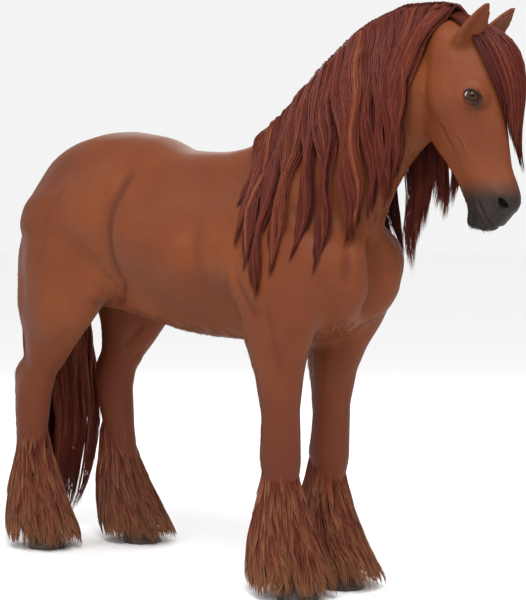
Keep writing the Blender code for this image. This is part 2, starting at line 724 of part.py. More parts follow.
def ear(name, side):
    """A leaf with a hollow front, its open side turned forward."""
    root, tip = on_head(*EAR_ROOT[:2], side * EAR_ROOT[2]), on_head(*EAR_TIP[:2], side * EAR_TIP[2])
    axis = (tip - root).normalized()
    front = (head_matrix().to_3x3() @ Vector((0.5, side * EAR_OUTWARD[name], -0.8))).normalized()
    front = (front - axis * front.dot(axis)).normalized()
    across = axis.cross(front)
    rings = []
    for share, width, depth, curl in EAR_SHAPE:
        middle = root.lerp(tip, share) + front * 0.010 * math.sin(math.pi * share)
        ring = []
        for k in range(10):
            angle = 2 * math.pi * k / 10
            out, ahead = math.sin(angle), math.cos(angle)
            hollow = curl * max(ahead, 0) * (1 - out * out)
            place = middle + across * out * width * EAR_HALF_WIDTH
            ring.append(place + front * (ahead * depth - hollow) * EAR_HALF_DEPTH)
        rings.append(ring)
    return loft(name, rings)


def lock(name, path, outward, half_width, half_depth, count=10):
    """A flat lock along the path that narrows to a point; outward says which way its flat side faces."""
    rings = []
    for i, place in enumerate(path):
        share = i / (len(path) - 1)
        along = (path[min(i + 1, len(path) - 1)] - path[max(i - 1, 0)]).normalized()
        out = (outward[i] - along * outward[i].dot(along)).normalized()
        beside = along.cross(out)
        taper = min(1.0, 0.65 + 2 * share) * (1 - share**3) + 0.08
        ring = []
        for k in range(count):
            angle = 2 * math.pi * k / count
            offset = beside * math.sin(angle) * half_width + out * math.cos(angle) * half_depth
            ring.append(place + offset * taper)
        rings.append(ring)
    return loft(name, rings)


def crest_left(x):
    """How far left of the middle the crest runs there."""
    table = np.array(NECK)
    return float(np.interp(x, table[:, 0], table[:, 4]))


def crest_top(skin, x):
    return skin.ray_cast(Vector((x, crest_left(x), 3)), Vector((0, 0, -1)))[0]


def crest_fullness(x):
    """How full the mane is there: it thins out towards the withers."""
    return 0.30 + 0.70 * smooth_step((x - 0.46) / 0.34)


def fall_of_hair(skin, side, root_x, tip_x, tip_z, steps=14):
    """A path from the crest down over the neck, which hangs straight below each bulge it meets."""
    left = crest_left(root_x)
    top = crest_top(skin, root_x).z + MANE_STANDS * crest_fullness(root_x)
    path, outward, away = [], [], 0.0
    for i in range(steps):
        share = i / (steps - 1)
        x = root_x + (tip_x - root_x) * smooth_step(share / 0.7) + 0.010 * math.sin(2.5 * math.pi * share)
        z = top + (tip_z - top) * (0.06 * share + 0.94 * share**1.25)
        hit = skin.ray_cast(Vector((x, side, z)), Vector((0, -side, 0)))[0]
        if hit and z < top - 0.02:
            away = max(away, side * (hit.y - left) + 0.018)
        path.append(Vector((x, left + side * away, z)))
        turn = smooth_step(share / 0.15)
        outward.append(Vector((0, side * turn, 1 - 0.9 * turn)))
    for _ in range(2):
        path[1:-1] = [(a + b * 2 + c) / 4 for a, b, c in zip(path, path[1:], path[2:])]
    return path, outward


def mane(name, skin, side, table):
    locks = []
    for n, (root_x, tip_x, tip_z) in enumerate(table):
        path, outward = fall_of_hair(skin, side, root_x, tip_x, tip_z)
        deep = LOCK_HALF_DEPTH * (1.15 if n % 2 else 0.85)
        locks.append(lock(name, path, outward, LOCK_HALF_WIDTH, deep))
    return locks


def mane_ridge(skin):
    """The upright hair along the crest, from the withers to the poll."""
    rings = []
    for x in np.linspace(MANE_FROM, MANE_TO, 18):
        top, size = crest_top(skin, x), crest_fullness(x)
        rings.append(
            [
                top + Vector((0, RIDGE_HALF_WIDTH * math.sin(a), 0.006 + RIDGE_HEIGHT * math.cos(a))) * size
                for a in (2 * math.pi * k / 12 for k in range(12))
            ]
        )
    return loft("ridge", rings)


def forelock():
    locks = []
    for line in FORELOCK:
        table = np.array(line)
        along = np.linspace(0, len(line) - 1, 12)
        path = [on_head(*uvw) for uvw in curve_through(np.arange(len(line)), table, along)]
        middle = [on_head(uvw[0], -0.04, 0.0) for uvw in curve_through(np.arange(len(line)), table, along)]
        outward = [place - inside for place, inside in zip(path, middle)]
        locks.append(lock("forelock", path, outward, 0.032, 0.015))
    return locks


def tail():
    """A core that hangs from the dock, with a few big locks laid on it."""
    rows = curve_through(np.arange(len(TAIL)), np.array(TAIL), np.linspace(0, len(TAIL) - 1, 26))
    rings, lines = [], {angle: [] for angle in (20, 75, 125, 180, 235, 290, 340)}
    for x, y, z, half_width, half_depth in rows:
        middle, ring = Vector((x, y, z)), []
        for k in range(16):
            angle = 2 * math.pi * k / 16
            ring.append(middle + Vector((math.cos(angle) * half_depth, math.sin(angle) * half_width, 0)))
        rings.append(ring)
        for degrees, line in lines.items():
            out = Vector((math.cos(math.radians(degrees)), math.sin(math.radians(degrees)), 0))
            line.append((middle + Vector((out.x * half_depth, out.y * half_width, 0)), out))
    locks = [loft("tail", rings)]
    for n, line in enumerate(lines.values()):
        end = len(line) - (2, 5, 3, 0, 4, 6, 3)[n]
        path, outward = [place for place, _ in line[3:end]], [out for _, out in line[3:end]]
        locks.append(lock("tail", path, outward, 0.045, 0.016))
    return locks


def feather(name):
    """The bell of hair over a hoof, its skirt scalloped into locks."""
    heights = [row[0] for row in FEATHER]
    middles = sorted(FEATHER_MIDDLES[name])
    rings = []
    for row in FEATHER:
        z, before, behind, beside = row
        x, y = curve_through([m[0] for m in middles], [m[1:] for m in middles], np.array([z]))[0]
        skirt = smooth_step((heights[0] - z) / heights[0])
        ring = []
        for k in range(FEATHER_POINTS):
            angle = 2 * math.pi * k / FEATHER_POINTS
            ahead, out = math.cos(angle), math.sin(angle)
            reach = before if ahead > 0 else behind
            scallop = 1 + 0.07 * skirt * (1 if k % 2 else -1)
            drop = 0.014 * skirt * (1 if k % 2 else 0) if z > 0.02 else 0
            ring.append(Vector((x + reach * ahead * scallop, y + beside * out * scallop, z - drop)))
        rings.append(ring)
    return loft("feather_" + name, rings)


def eyeball(name, side):
    u, v, w = EYE
    bm = bmesh.new()
    bmesh.ops.create_icosphere(bm, subdivisions=2, radius=EYE_RADIUS)
    bmesh.ops.transform(bm, matrix=Matrix.Translation(on_head(u, v, side * w)), verts=bm.verts)
    return mesh_object(name, bm)


def paint(obj, colour, roughness):
    material = bpy.data.materials.new(obj.name)
    material.use_nodes = True
    shader = material.node_tree.nodes["Principled BSDF"]
    shader.inputs["Base Color"].default_value = (*colour, 1.0)
    shader.inputs["Roughness"].default_value = roughness
    obj.data.materials.clear()
    obj.data.materials.append(material)


def hair_piece(name, locks, tools):
    """The locks as one solid, cut back to lie on what it covers; the exact solver fails on their faces."""
    obj = melted(joined(name, locks), HAIR_VOXEL, 1)
    thinned(obj, HAIR_TRIANGLES[name])
    for tool in tools:
        cut(obj, "DIFFERENCE", tool, "MANIFOLD")
    return main_piece(obj)


def main():
    for obj in list(bpy.data.objects):
        bpy.data.objects.remove(obj)
    body = whole_body()
    thinned(body, BODY_TRIANGLES, head_detail)
    graph = bpy.context.evaluated_depsgraph_get()
    skin = BVHTree.FromObject(body, graph)
    flesh = fattened(body, GAP)
    nodes = parted_body(body)

    for name, (x, y) in HOOVES.items():
        nodes["hoof_" + name] = hoof(name, x, y)
        leg = nodes[{"fore": "foreleg_", "hind": "hindleg_"}[name[:4]] + name[5:]]
        cut(leg, "INTERSECT", half_space(name + "_coronet", *coronet_plane(x, y)))
    for side, name in ((-1, "right"), (1, "left")):
        nodes["ear_" + name] = main_piece(cut(ear("ear_" + name, side), "DIFFERENCE", flesh))
        nodes["eye_" + name] = eyeball("eye_" + name, side)
        cut(nodes["head"], "DIFFERENCE", fattened(nodes["eye_" + name], GAP))
    ears = [fattened(nodes["ear_" + name], GAP) for name in ("right", "left")]

    locks = mane("mane_right", skin, -1, MANE_RIGHT) + [mane_ridge(skin)]
    nodes["mane_right"] = hair_piece("mane_right", locks, [flesh, *ears])
    right = fattened(nodes["mane_right"], GAP)
    locks = mane("mane_left", skin, 1, MANE_LEFT)
    nodes["mane_left"] = hair_piece("mane_left", locks, [flesh, *ears, right])
    left = fattened(nodes["mane_left"], GAP)
    eyes = [fattened(nodes["eye_" + name], GAP) for name in ("right", "left")]
    nodes["forelock"] = hair_piece("forelock", forelock(), [flesh, *ears, *eyes, right, left])
    bells = []
    for name in HOOVES:
        bell = cut(feather(name), "DIFFERENCE", flesh)
        for tool in (fattened(nodes["hoof_" + name], GAP), *bells):
            cut(bell, "DIFFERENCE", tool)
        nodes[bell.name] = main_piece(bell)
        bells.append(fattened(bell, GAP))
    nodes["tail"] = hair_piece("tail", tail(), [flesh, *bells[2:]])
    finish(nodes)


def finish(nodes):
    horse = bpy.data.collections.new("horse")
    helpers = bpy.data.collections.new("helpers")
    for collection in (horse, helpers):
        bpy.context.scene.collection.children.link(collection)
    looks = {"hoof": (HORN, 0.5), "eye": (EYE_BROWN, 0.08)}
    looks |= {name: (HAIR, 0.6) for name in ("mane", "forelock", "tail", "feather")}
    for obj in list(bpy.context.scene.collection.objects):
        bpy.context.scene.collection.objects.unlink(obj)
        (helpers if obj.hide_render else horse).objects.link(obj)
    for name, node in nodes.items():
        move_to(node.data, places_of(node.data) - np.array(MIDDLE))
        paint(node, *looks.get(name.split("_")[0], (COAT, 0.5)))
        node.data.shade_flat()


main()
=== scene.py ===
"""The looks of a standing, feathered cob: skin, eyes, hooves, short coat, mane, forelock, tail and feather.

Metres, in the model's own frame: +X forward, +Y the horse's left, +Z up, floor at zero.
"""

import math

import bmesh
import bpy
import numpy as np
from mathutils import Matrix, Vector
from mathutils.bvhtree import BVHTree


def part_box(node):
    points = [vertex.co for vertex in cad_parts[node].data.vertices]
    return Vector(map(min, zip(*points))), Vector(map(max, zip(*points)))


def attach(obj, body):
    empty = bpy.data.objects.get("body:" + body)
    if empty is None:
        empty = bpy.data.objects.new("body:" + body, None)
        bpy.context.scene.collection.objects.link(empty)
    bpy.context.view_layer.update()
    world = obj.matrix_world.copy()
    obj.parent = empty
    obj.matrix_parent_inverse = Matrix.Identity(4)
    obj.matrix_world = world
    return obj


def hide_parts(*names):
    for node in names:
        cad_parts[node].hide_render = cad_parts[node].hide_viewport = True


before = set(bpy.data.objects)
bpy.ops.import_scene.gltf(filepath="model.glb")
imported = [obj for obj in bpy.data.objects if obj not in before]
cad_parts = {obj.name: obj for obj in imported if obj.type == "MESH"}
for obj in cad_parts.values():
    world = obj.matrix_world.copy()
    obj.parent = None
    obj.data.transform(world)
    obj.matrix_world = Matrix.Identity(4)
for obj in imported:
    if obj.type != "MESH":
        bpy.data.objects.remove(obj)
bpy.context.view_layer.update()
rng = np.random.default_rng(7)

# ---------------------------------------------------------------- sizes

FLESH = ("trunk", "neck", "head", "ear_left", "ear_right") + tuple(
    leg + side for leg in ("foreleg_", "hindleg_") for side in ("left", "right")
)
FEET = ("fore_left", "fore_right", "hind_left", "hind_right")

# Skin: how finely the flesh is melted into one, how often it is evened out, and how deep it lies
SKIN_VOXEL = 0.0072
SKIN_ROUNDS = 44
COAT_DEPTH = 0.002
EDGE_SPARE = 0.0034  # added to the ears, so that their thin edges last through the melting

# Head: how far the face leans from the vertical, and where the eyes stand from the poll
FACE_LEAN = math.radians(14)
EYE_DOWN = 0.235
EYE_AHEAD = 0.006

# Eyes
EYE_RADIUS = 0.0245
EYE_SUNK = 0.005  # how much deeper the finished eyeball sits than its plain solid
CORNEA_BULGE = 0.0012
IRIS_AHEAD = 0.0028  # the iris looks a little forward, so the white shows at the rear corner
LID = 0.0026  # thickness of an eyelid
SLIT_HALF = 0.0225  # half the length of the slit between the lids
SLIT_ABOVE = 0.0148  # how far it opens above its middle
SLIT_BELOW = 0.0112

# Strands of hair, which are three-sided
CORNERS = np.radians((90, 210, 330))
LONG_STRAND = 0.0017  # half the width of a strand of the mane and the forelock
COARSE_STRAND = 0.0020  # and of the tail and the feather
FLATNESS = 0.22  # how thick a strand of the short coat is, against its width
COAT_TUFTS = 4600
TUFT_STRANDS = 4
LASHES = 30  # on each eye
PATCH = 0.003  # size of one strand's own patch on the unwrap
WISP_TWIST = 0.8  # how far a wisp usually turns from root to point, in radians

# ---------------------------------------------------------------- small tools


def smooth(low, high, value):
    """0 below low, 1 above high, and an even S-curve between."""
    t = np.clip((np.asarray(value, float) - low) / (high - low), 0, 1)
    return t * t * (3 - 2 * t)


def bell(value, middle, width):
    """1 at the middle, falling away on both sides over the width."""
    return np.exp(-(((value - middle) / width) ** 2))


def unit(vectors):
    return vectors / np.maximum(np.linalg.norm(vectors, axis=-1, keepdims=True), 1e-9)


def square_to(along, vectors):
    """What is left of each vector at right angles to the way along, a unit long."""
    return unit(vectors - along * (vectors * along).sum(axis=-1, keepdims=True))


def middle_of(node):
    low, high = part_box(node)
    return np.array((low + high) / 2)


def places_of(mesh):
    places = np.empty(len(mesh.vertices) * 3, np.float32)
    mesh.vertices.foreach_get("co", places)
    return places.reshape(-1, 3).astype(float)


def normals_of(mesh):
    normals = np.empty(len(mesh.vertices) * 3, np.float32)
    mesh.vertex_normals.foreach_get("vector", normals)
    return normals.reshape(-1, 3).astype(float)


def move_to(mesh, places):
    mesh.vertices.foreach_set("co", places.astype(np.float32).ravel())
    mesh.update()


def new_object(name, data):
    obj = bpy.data.objects.new(name, data)
    bpy.context.scene.collection.objects.link(obj)
    return obj


def applied(obj):
    """Replaces the object's mesh by what its modifiers make of it."""
    mesh = bpy.data.meshes.new_from_object(obj.evaluated_get(bpy.context.evaluated_depsgraph_get()))
    obj.modifiers.clear()
    obj.data = mesh
    return obj


def joined_nodes(name, nodes, fatter=()):
    """One new object that holds copies of these parts of the frame, some of them a little fatter."""
    bm = bmesh.new()
    for node in nodes:
        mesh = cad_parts[node].data.copy()
        if node in fatter:
            move_to(mesh, places_of(mesh) + normals_of(mesh) * EDGE_SPARE)
        bm.from_mesh(mesh)
    mesh = bpy.data.meshes.new(name)
    bm.to_mesh(mesh)
    bm.free()
    return new_object(name, mesh)


def remeshed(obj, voxel):
    remesh = obj.modifiers.new("melt", "REMESH")
    remesh.mode = "VOXEL"
    remesh.voxel_size = voxel
    return applied(obj)


def evened(obj, rounds, strength):
    """Evens out the surface by as much as strength says for each vertex, then gives back what that shrank."""
    mesh = obj.data
    edges = np.empty(len(mesh.edges) * 2, np.int32)
    mesh.edges.foreach_get("vertices", edges)
    one, two = edges.reshape(-1, 2).T
    count = len(mesh.vertices)
    share = 1 / np.maximum(np.bincount(one, minlength=count) + np.bincount(two, minlength=count), 1)
    places = places_of(mesh)
    for axis in range(3):
        line = places[:, axis]
        for turn in range(2 * rounds):
            total = np.bincount(one, line[two], count) + np.bincount(two, line[one], count)
            line = line + strength * (total * share - line)
            if turn == rounds - 1:
                once = line
        places[:, axis] = 2 * once - line
    move_to(mesh, places)
    return obj


def numbers_on(mesh, name, values):
    """Keeps one number for each vertex, which the materials read by its name."""
    attribute = mesh.attributes.new(name, "FLOAT", "POINT")
    attribute.data.foreach_set("value", np.asarray(values, np.float32))


# ---------------------------------------------------------------- the head's own directions


class Head:
    """Places on the head: down the face from the poll, ahead of the line of the face, and to its left."""

    def __init__(self):
        eyes = {side: middle_of("eye_" + side) for side in ("right", "left")}
        self.side = unit(eyes["left"] - eyes["right"])
        forward = unit(np.cross(self.side, (0, 0, 1)))
        up = np.array((0, 0, 1.0))
        self.down = forward * math.sin(FACE_LEAN) - up * math.cos(FACE_LEAN)
        self.front = forward * math.cos(FACE_LEAN) + up * math.sin(FACE_LEAN)
        middle = (eyes["left"] + eyes["right"]) / 2
        self.poll = middle - self.down * EYE_DOWN - self.front * EYE_AHEAD
        self.eyes = eyes

    def at(self, down, front, side):
        return self.poll + self.down * down + self.front * front + self.side * side

    def own(self, places):
        """The same places as down, front and side."""
        away = places - self.poll
        return np.stack([away @ self.down, away @ self.front, away @ self.side], axis=-1)


head = Head()


class EyeSpace:
    """Directions at one eye: outwards, along the slit to the front corner, and up across it."""

    def __init__(self, name, sign):
        self.name = name
        self.out = unit(head.side * sign * 0.93 + head.front * 0.33 - head.down * 0.02)
        self.middle = head.eyes[name] - self.out * EYE_SUNK
        along = head.front * 0.82 + head.down * 0.57
        self.along = unit(along - self.out * (along @ self.out))
        up = np.cross(self.along, self.out) * sign
        self.up = up if up @ head.down < 0 else -up

    def own(self, places):
        away = places - self.middle
        return np.stack([away @ self.along, away @ self.up, away @ self.out], axis=-1)


eyes = [EyeSpace("right", -1), EyeSpace("left", 1)]

# ---------------------------------------------------------------- skin


def along_line(places, line):
    """How far each place is from the line, and how far along it, from 0 to 1."""
    nearest = np.full(len(places), np.inf)
    travelled = np.zeros(len(places))
    for i, (start, end) in enumerate(zip(line, line[1:])):
        step = np.subtract(end, start)
        share = np.clip((places - start) @ step / (step @ step), 0, 1)
        away = np.linalg.norm(places - start - share[:, None] * step, axis=1)
        closer = away < nearest
        nearest[closer] = away[closer]
        travelled[closer] = (i + share[closer]) / (len(line) - 1)
    return nearest, travelled


def ridge(places, line, half_width, height, fade=0.25):
    """A ridge, or a groove where the height is negative, that fades out towards both ends."""
    away, travelled = along_line(places, [np.array(p, float) for p in line])
    ends = np.minimum(smooth(0, fade, travelled), smooth(0, fade, 1 - travelled)) if fade else 1
    return height * np.clip(1 - (away / half_width) ** 2, 0, 1) ** 2 * ends


def lid_opening(slit):
    """Below 1 inside the slit between the lids, 1 on its edge."""
    along, up = slit[:, 0] / SLIT_HALF, slit[:, 1] + 0.0012
    arch = np.sqrt(np.clip(1 - along**2, 0, 1))
    edge = np.where(up > 0, SLIT_ABOVE, SLIT_BELOW) * arch**1.2 + 1e-5
    return np.where(np.abs(along) < 1, np.abs(up) / edge, 9.0)


def shape_lids(places):
    """Draws the skin over each eyeball as lids, and sinks it inside the slit."""
    for eye in eyes:
        own = eye.own(places)
        near = (np.linalg.norm(own, axis=1) < 0.075) & (own[:, 2] > -0.035)
        local = own[near]
        along, up = local[:, 0], local[:, 1]
        opening = lid_opening(local)
        over_eye = np.abs(along) < 0.03
        lid = EYE_RADIUS + LID + 0.0012 * bell(opening, 1.12, 0.12)
        lid = lid - 0.0016 * bell(up, 0.0185, 0.0022) * over_eye
        lid = lid - 0.0010 * bell(up, -0.0150, 0.0020) * over_eye
        sunk = EYE_RADIUS - 0.010
        target = np.where(opening < 1, sunk + (lid - sunk) * smooth(0.80, 1.0, opening), lid)
        height = np.sqrt(np.clip(target**2 - np.hypot(along, up) ** 2, 0, None))
        share = 1 - smooth(0.020, 0.050, np.hypot(along / 1.15, up))
        local[:, 2] = local[:, 2] * (1 - share) + height * share
        places[near] = eye.middle + local @ np.stack([eye.along, eye.up, eye.out])
    return places


# Forms of the face, the same on both sides: half width, height and fade at the ends, then the line in the
# head's own directions
FACE_FORMS = (
    # The bony crest below the eye, the hollow beside the nose bone, and the nose bone's edge
    (0.013, 0.0062, 0.25, (0.262, -0.016, 0.085), (0.340, -0.026, 0.074), (0.425, -0.028, 0.062)),
    (0.018, -0.0062, 0.25, (0.300, 0.026, 0.072), (0.400, 0.020, 0.058), (0.500, 0.020, 0.052)),
    (0.010, 0.0032, 0.25, (0.330, 0.046, 0.050), (0.430, 0.040, 0.044), (0.500, 0.036, 0.046)),
    # The round edge of the cheek, and the cheek itself
    (0.016, 0.0045, 0.25, (0.140, -0.150, 0.078), (0.230, -0.178, 0.072), (0.310, -0.160, 0.062)),
    (0.030, 0.0030, 0.25, (0.120, -0.110, 0.095), (0.170, -0.140, 0.090), (0.260, -0.140, 0.085)),
    # Muscles from the crest down to the lips, and the hollow behind them
    (0.007, 0.0030, 0.25, (0.330, -0.070, 0.066), (0.420, -0.050, 0.058), (0.500, -0.030, 0.056)),
    (0.006, 0.0022, 0.25, (0.300, -0.090, 0.075), (0.360, -0.060, 0.064), (0.420, -0.075, 0.054)),
    (0.014, -0.0050, 0.25, (0.275, -0.130, 0.072), (0.330, -0.120, 0.064), (0.395, -0.110, 0.056)),
    # The hollow over the eye, and the brow
    (0.022, -0.0060, 0, (0.110, 0.050, 0.082), (0.160, 0.062, 0.078)),
    (0.016, 0.0055, 0.20, (0.196, 0.004, 0.090), (0.188, 0.028, 0.090), (0.200, 0.046, 0.080)),
    # The tear bone, and the groove under the crest
    (0.012, 0.0030, 0.25, (0.285, 0.020, 0.080), (0.345, 0.000, 0.070)),
    (0.009, -0.0030, 0.25, (0.270, -0.010, 0.086), (0.330, -0.040, 0.078), (0.400, -0.060, 0.066)),
)
# Wrinkles at the corner of the mouth, one behind the other
MOUTH_WRINKLES = tuple(
    (0.0045, -0.0016, 0.25, (down, -0.040, 0.058), (down - 0.008, -0.062, 0.057), (down, -0.082, 0.050))
    for down in (0.528, 0.515, 0.502)
)
# Folds behind the nostril
NOSTRIL_FOLDS = (
    (0.007, -0.0025, 0.25, (0.515, 0.030, 0.052), (0.508, 0.008, 0.060), (0.520, -0.018, 0.060)),
    (0.006, 0.0016, 0.25, (0.500, 0.030, 0.050), (0.492, 0.005, 0.058), (0.504, -0.020, 0.058)),
)
# The line of the mouth, from its corner to the front of the lips
MOUTH = [(0.528, -0.066, 0), (0.556, -0.062, 0), (0.590, -0.052, 0), (0.622, -0.046, 0), (0.645, -0.044, 0)]
# The middle of the nostril's raised rim on the left, and of its hole
NOSTRIL_RIM = (0.556, 0.010, 0.052)
NOSTRIL = (0.560, 0.008, 0.052)


def forms(own, table, sign):
    """The rise of these forms on the left of the face, or on the right where the sign is negative."""
    rise = np.zeros(len(own))
    for half_width, height, fade, *left in table:
        line = [(down, front, sign * side) for down, front, side in left]
        rise += ridge(own, line, half_width, height, fade)
    return rise


def head_relief(own):
    """How far the face rises or sinks at each place of the head, in its own directions."""
    rise = np.zeros(len(own))
    for sign in (-1, 1):
        rise += forms(own, FACE_FORMS + MOUTH_WRINKLES, sign)
        rim = own - np.multiply(NOSTRIL_RIM, (1, 1, sign))
        ring = np.hypot(rim[:, 0] / 0.024, (rim[:, 1] - 0.15 * rim[:, 0]) / 0.016)
        beside = smooth(0.0, 0.02, sign * own[:, 2] - 0.015)
        rise += 0.0050 * bell(ring, 1.15, 0.30) * beside * (np.abs(rim[:, 2]) < 0.04)
        rise += forms(own, NOSTRIL_FOLDS, sign)
    # Mouth: the line between the lips, as it lies on both sides and across the front, and the lips' own swell
    flat = own * (1, 1, 0)
    rise += ridge(flat, MOUTH, 0.0048, -0.0068, 0.08)
    rise += ridge(flat, [(down, front + 0.014, 0) for down, front, _ in MOUTH], 0.011, 0.0022, 0.1)
    rise += ridge(flat, [(down, front - 0.014, 0) for down, front, _ in MOUTH], 0.011, 0.0026, 0.1)
    return rise


def sink_nostrils(places, own):
    """Presses each nostril in as a deep comma, wide below and narrow above."""
    depth = np.zeros(len(own))
    inward = np.zeros((len(own), 3))
    for sign in (-1, 1):
        away = own - np.multiply(NOSTRIL, (1, 1, sign))
        down, front = away[:, 0], away[:, 1] - 0.15 * away[:, 0] + 6.0 * away[:, 0] ** 2
        width = 0.0085 + 0.10 * np.clip(down + 0.018, 0, 0.03)
        hole = np.hypot(down / 0.0205, front / (1.15 * width))
        here = (np.abs(away[:, 2]) < 0.045) & (sign * own[:, 2] > 0.012)
        press = 0.026 * (1 - smooth(0.45, 1.02, hole)) * here
        toward = -sign * head.side * 0.86 - head.down * 0.42 - head.front * 0.20
        inward += press[:, None] * unit(toward)
        depth = np.maximum(depth, press)
    return places + inward, depth


def divided(obj, near):
    """Divides the faces where near is true, and gives the places of the finer mesh."""
    bm = bmesh.new()
    bm.from_mesh(obj.data)
    bm.verts.ensure_lookup_table()
    edges = [e for e in bm.edges if near[e.verts[0].index] and near[e.verts[1].index]]
    bmesh.ops.subdivide_edges(bm, edges=edges, cuts=1, use_grid_fill=True)
    bm.to_mesh(obj.data)
    bm.free()
    return places_of(obj.data)


# Grooves and swells of the body as seen from either side: half width, height, then x and z down the line
SIDE_FORMS = (
    (0.040, -0.0085, (-0.342, 1.37), (-0.338, 1.22), (-0.342, 1.06), (-0.356, 0.93)),  # before the thigh
    (0.022, -0.0070, (-0.320, 0.97), (-0.420, 0.90), (-0.520, 0.87)),  # fold of the flank
    (0.060, 0.0070, (-0.400, 1.02), (-0.460, 0.935)),  # stifle
    (0.036, -0.0038, (-0.600, 1.30), (-0.660, 1.16), (-0.680, 0.98)),  # between the thigh's muscles
    (0.050, -0.0030, (0.060, 1.16), (0.080, 1.03), (0.140, 0.90)),  # behind the elbow
    (0.024, -0.0070, (0.220, 1.06), (0.290, 0.94), (0.360, 0.86)),  # under the shoulder's muscle
    (0.055, 0.0060, (0.170, 1.12), (0.250, 0.97)),  # the muscle itself
    (0.020, -0.0045, (0.380, 0.93), (0.400, 0.80), (0.390, 0.68)),  # down the forearm
    (0.014, -0.0040, (-0.500, 0.82), (-0.600, 0.72), (-0.700, 0.64)),  # before the hock's tendon
    (0.020, -0.0045, (-0.600, 0.80), (-0.700, 0.70)),  # down the gaskin
    (0.012, -0.0020, (0.360, 0.46), (0.300, 0.36)),  # beside the fore tendon
)
# The same on the breast, at x, y and z of the left side
BREAST_FORMS = (
    (0.030, -0.0100, (0.560, 0.10, 1.24), (0.610, 0.125, 1.08), (0.595, 0.14, 0.95)),
    (0.030, -0.0080, (0.400, 0.16, 1.22), (0.500, 0.17, 1.08)),
)
RIBS = (-0.05, 0.03, 0.11, 0.19)  # x of each gap between ribs that shows


def body_relief(places):
    """Muscle edges, tendons, ribs and the creases of skin on the body."""
    rise = np.zeros(len(places))
    from_side = places * (1, 0, 1)
    for half_width, height, *line in SIDE_FORMS:
        rise += ridge(from_side, [(x, 0, z) for x, z in line], half_width, height, 0.18)
    for x in RIBS:
        gap = [(x - 0.03, 0, 1.22), (x - 0.05, 0, 1.06), (x - 0.02, 0, 0.92)]
        rise += ridge(from_side, gap, 0.022, -0.0010)
    rise *= smooth(0.03, 0.08, np.abs(places[:, 1]))
    mirrored = places * (1, 0, 1) + np.abs(places) * (0, 1, 0)
    for half_width, height, *line in BREAST_FORMS:
        rise += ridge(mirrored, line, half_width, height)
    return rise


def eased(places):
    """How strongly the skin is evened out at each place: most on the body, least on face, legs and ears."""
    own = head.own(places)
    down, front = own[:, 0], own[:, 1]
    on_head = smooth(-0.30, -0.20, front) * smooth(-0.10, 0.00, down) * smooth(-0.25, -0.16, front)
    ear = smooth(0.075, 0.085, front) * smooth(0.06, 0.02, down)
    ear = np.maximum(ear, smooth(0.02, -0.01, down) * smooth(0.0, 0.02, front))
    legs = 1 - smooth(0.55, 0.95, places[:, 2])
    return 0.5 * (1 - 0.78 * on_head) * (1 - 0.62 * legs) * (1 - 0.5 * ear)


def finer_on_head(obj):
    """Divides the skin once on the head and once more round the eyes, and gives its places."""
    own = head.own(places_of(obj.data))
    places = divided(obj, (own[:, 0] > -0.03) & (own[:, 1] > -0.26))
    near_eyes = np.zeros(len(places), bool)
    for eye in eyes:
        near_eyes |= np.linalg.norm(places - eye.middle - eye.out * 0.012, axis=1) < 0.040
    return divided(obj, near_eyes)


def make_skin(look):
    """One skin over all the flesh, which lies a coat's depth inside it."""
    nodes = FLESH + ("eye_left", "eye_right")
    obj = remeshed(joined_nodes("skin", nodes, ("ear_left", "ear_right")), SKIN_VOXEL)
    evened(obj, SKIN_ROUNDS, eased(places_of(obj.data)))
    places = finer_on_head(obj)
    own = head.own(places)
    face = (own[:, 0] > 0.05) & (own[:, 1] > -0.25)
    rise = body_relief(places) - COAT_DEPTH
    rise[face] += head_relief(own[face])
    places = shape_lids(places + normals_of(obj.data) * rise[:, None])
    own = head.own(places)
    muzzle = own[:, 0] > 0.48
    places[muzzle], depth = sink_nostrils(places[muzzle], own[muzzle])
    move_to(obj.data, places)
    # Painted shade: the coat goes near black the deeper the nostril is pressed in
    inside = np.zeros(len(places))
    inside[muzzle] = smooth(0.002, 0.012, depth)
    for name, values in markings(places).items():
        numbers_on(obj.data, name, values)
    numbers_on(obj.data, "nostril", inside)
    obj.data.shade_smooth()
    obj.data.materials.clear()
    obj.data.materials.append(look)
    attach(obj, "root")
    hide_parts(*FLESH)
    return obj


# ---------------------------------------------------------------- markings


def on_the_head(own):
    """1 on the head and 0 on the neck, with a soft edge behind the jaw."""
    return smooth(-0.27, -0.22, own[:, 1])


def dark_round_eyes(places):
    """The dark rim of the lids, and the shade under the front corner of each eye."""
    rim = np.zeros(len(places))
    for eye in eyes:
        along, up, out = eye.own(places).T
        arch = SLIT_ABOVE * np.clip(1 - (along / (1.35 * SLIT_HALF)) ** 2, 0, 1) ** 0.7
        liner = (1 - smooth(0.002, 0.0075, np.abs(up - arch - 0.001))) * (np.abs(along) < 0.031)
        below = np.hypot((along - 0.018) * 0.9, up + 0.013)
        round_slit = 1 - smooth(0.0160, 0.0215, np.hypot(along * 0.70, up))
        dark = np.maximum.reduce([round_slit, 0.8 * (1 - smooth(0.004, 0.030, below)), liner])
        rim = np.maximum(rim, dark * (out > -0.02))
    return rim


def markings(places):
    """How far each place has the tone of each marking, and how far the coat lies as on the barrel."""
    own = head.own(places)
    x, z, down = places[:, 0], places[:, 2], own[:, 0]
    face = on_the_head(own) * smooth(0.0, 0.05, down)
    relief = head_relief(own)
    # Painted shade: the coat darkens in the grooves of the body's and the face's relief
    crease_shade = smooth(0.0005, 0.010, -body_relief(places))
    return {
        "muzzle": smooth(0.455, 0.545, down - 0.25 * (own[:, 1] + 0.03)) * on_the_head(own),
        "eye_rim": dark_round_eyes(places),
        # Painted shade: the coat darkens down the legs, away from the light above
        "legs": 1 - smooth(0.30, 0.95, z),
        "barrel": smooth(0.80, 0.98, z) * (1 - smooth(0.30, 0.50, x)),
        "crease_shade": np.maximum(crease_shade, 0.75 * face * smooth(0.0005, 0.006, -relief)),
        # Painted highlight: the coat is paler along the face's raised ridges
        "crest_highlight": face * smooth(0.0010, 0.0060, relief),
    }


# ---------------------------------------------------------------- tones

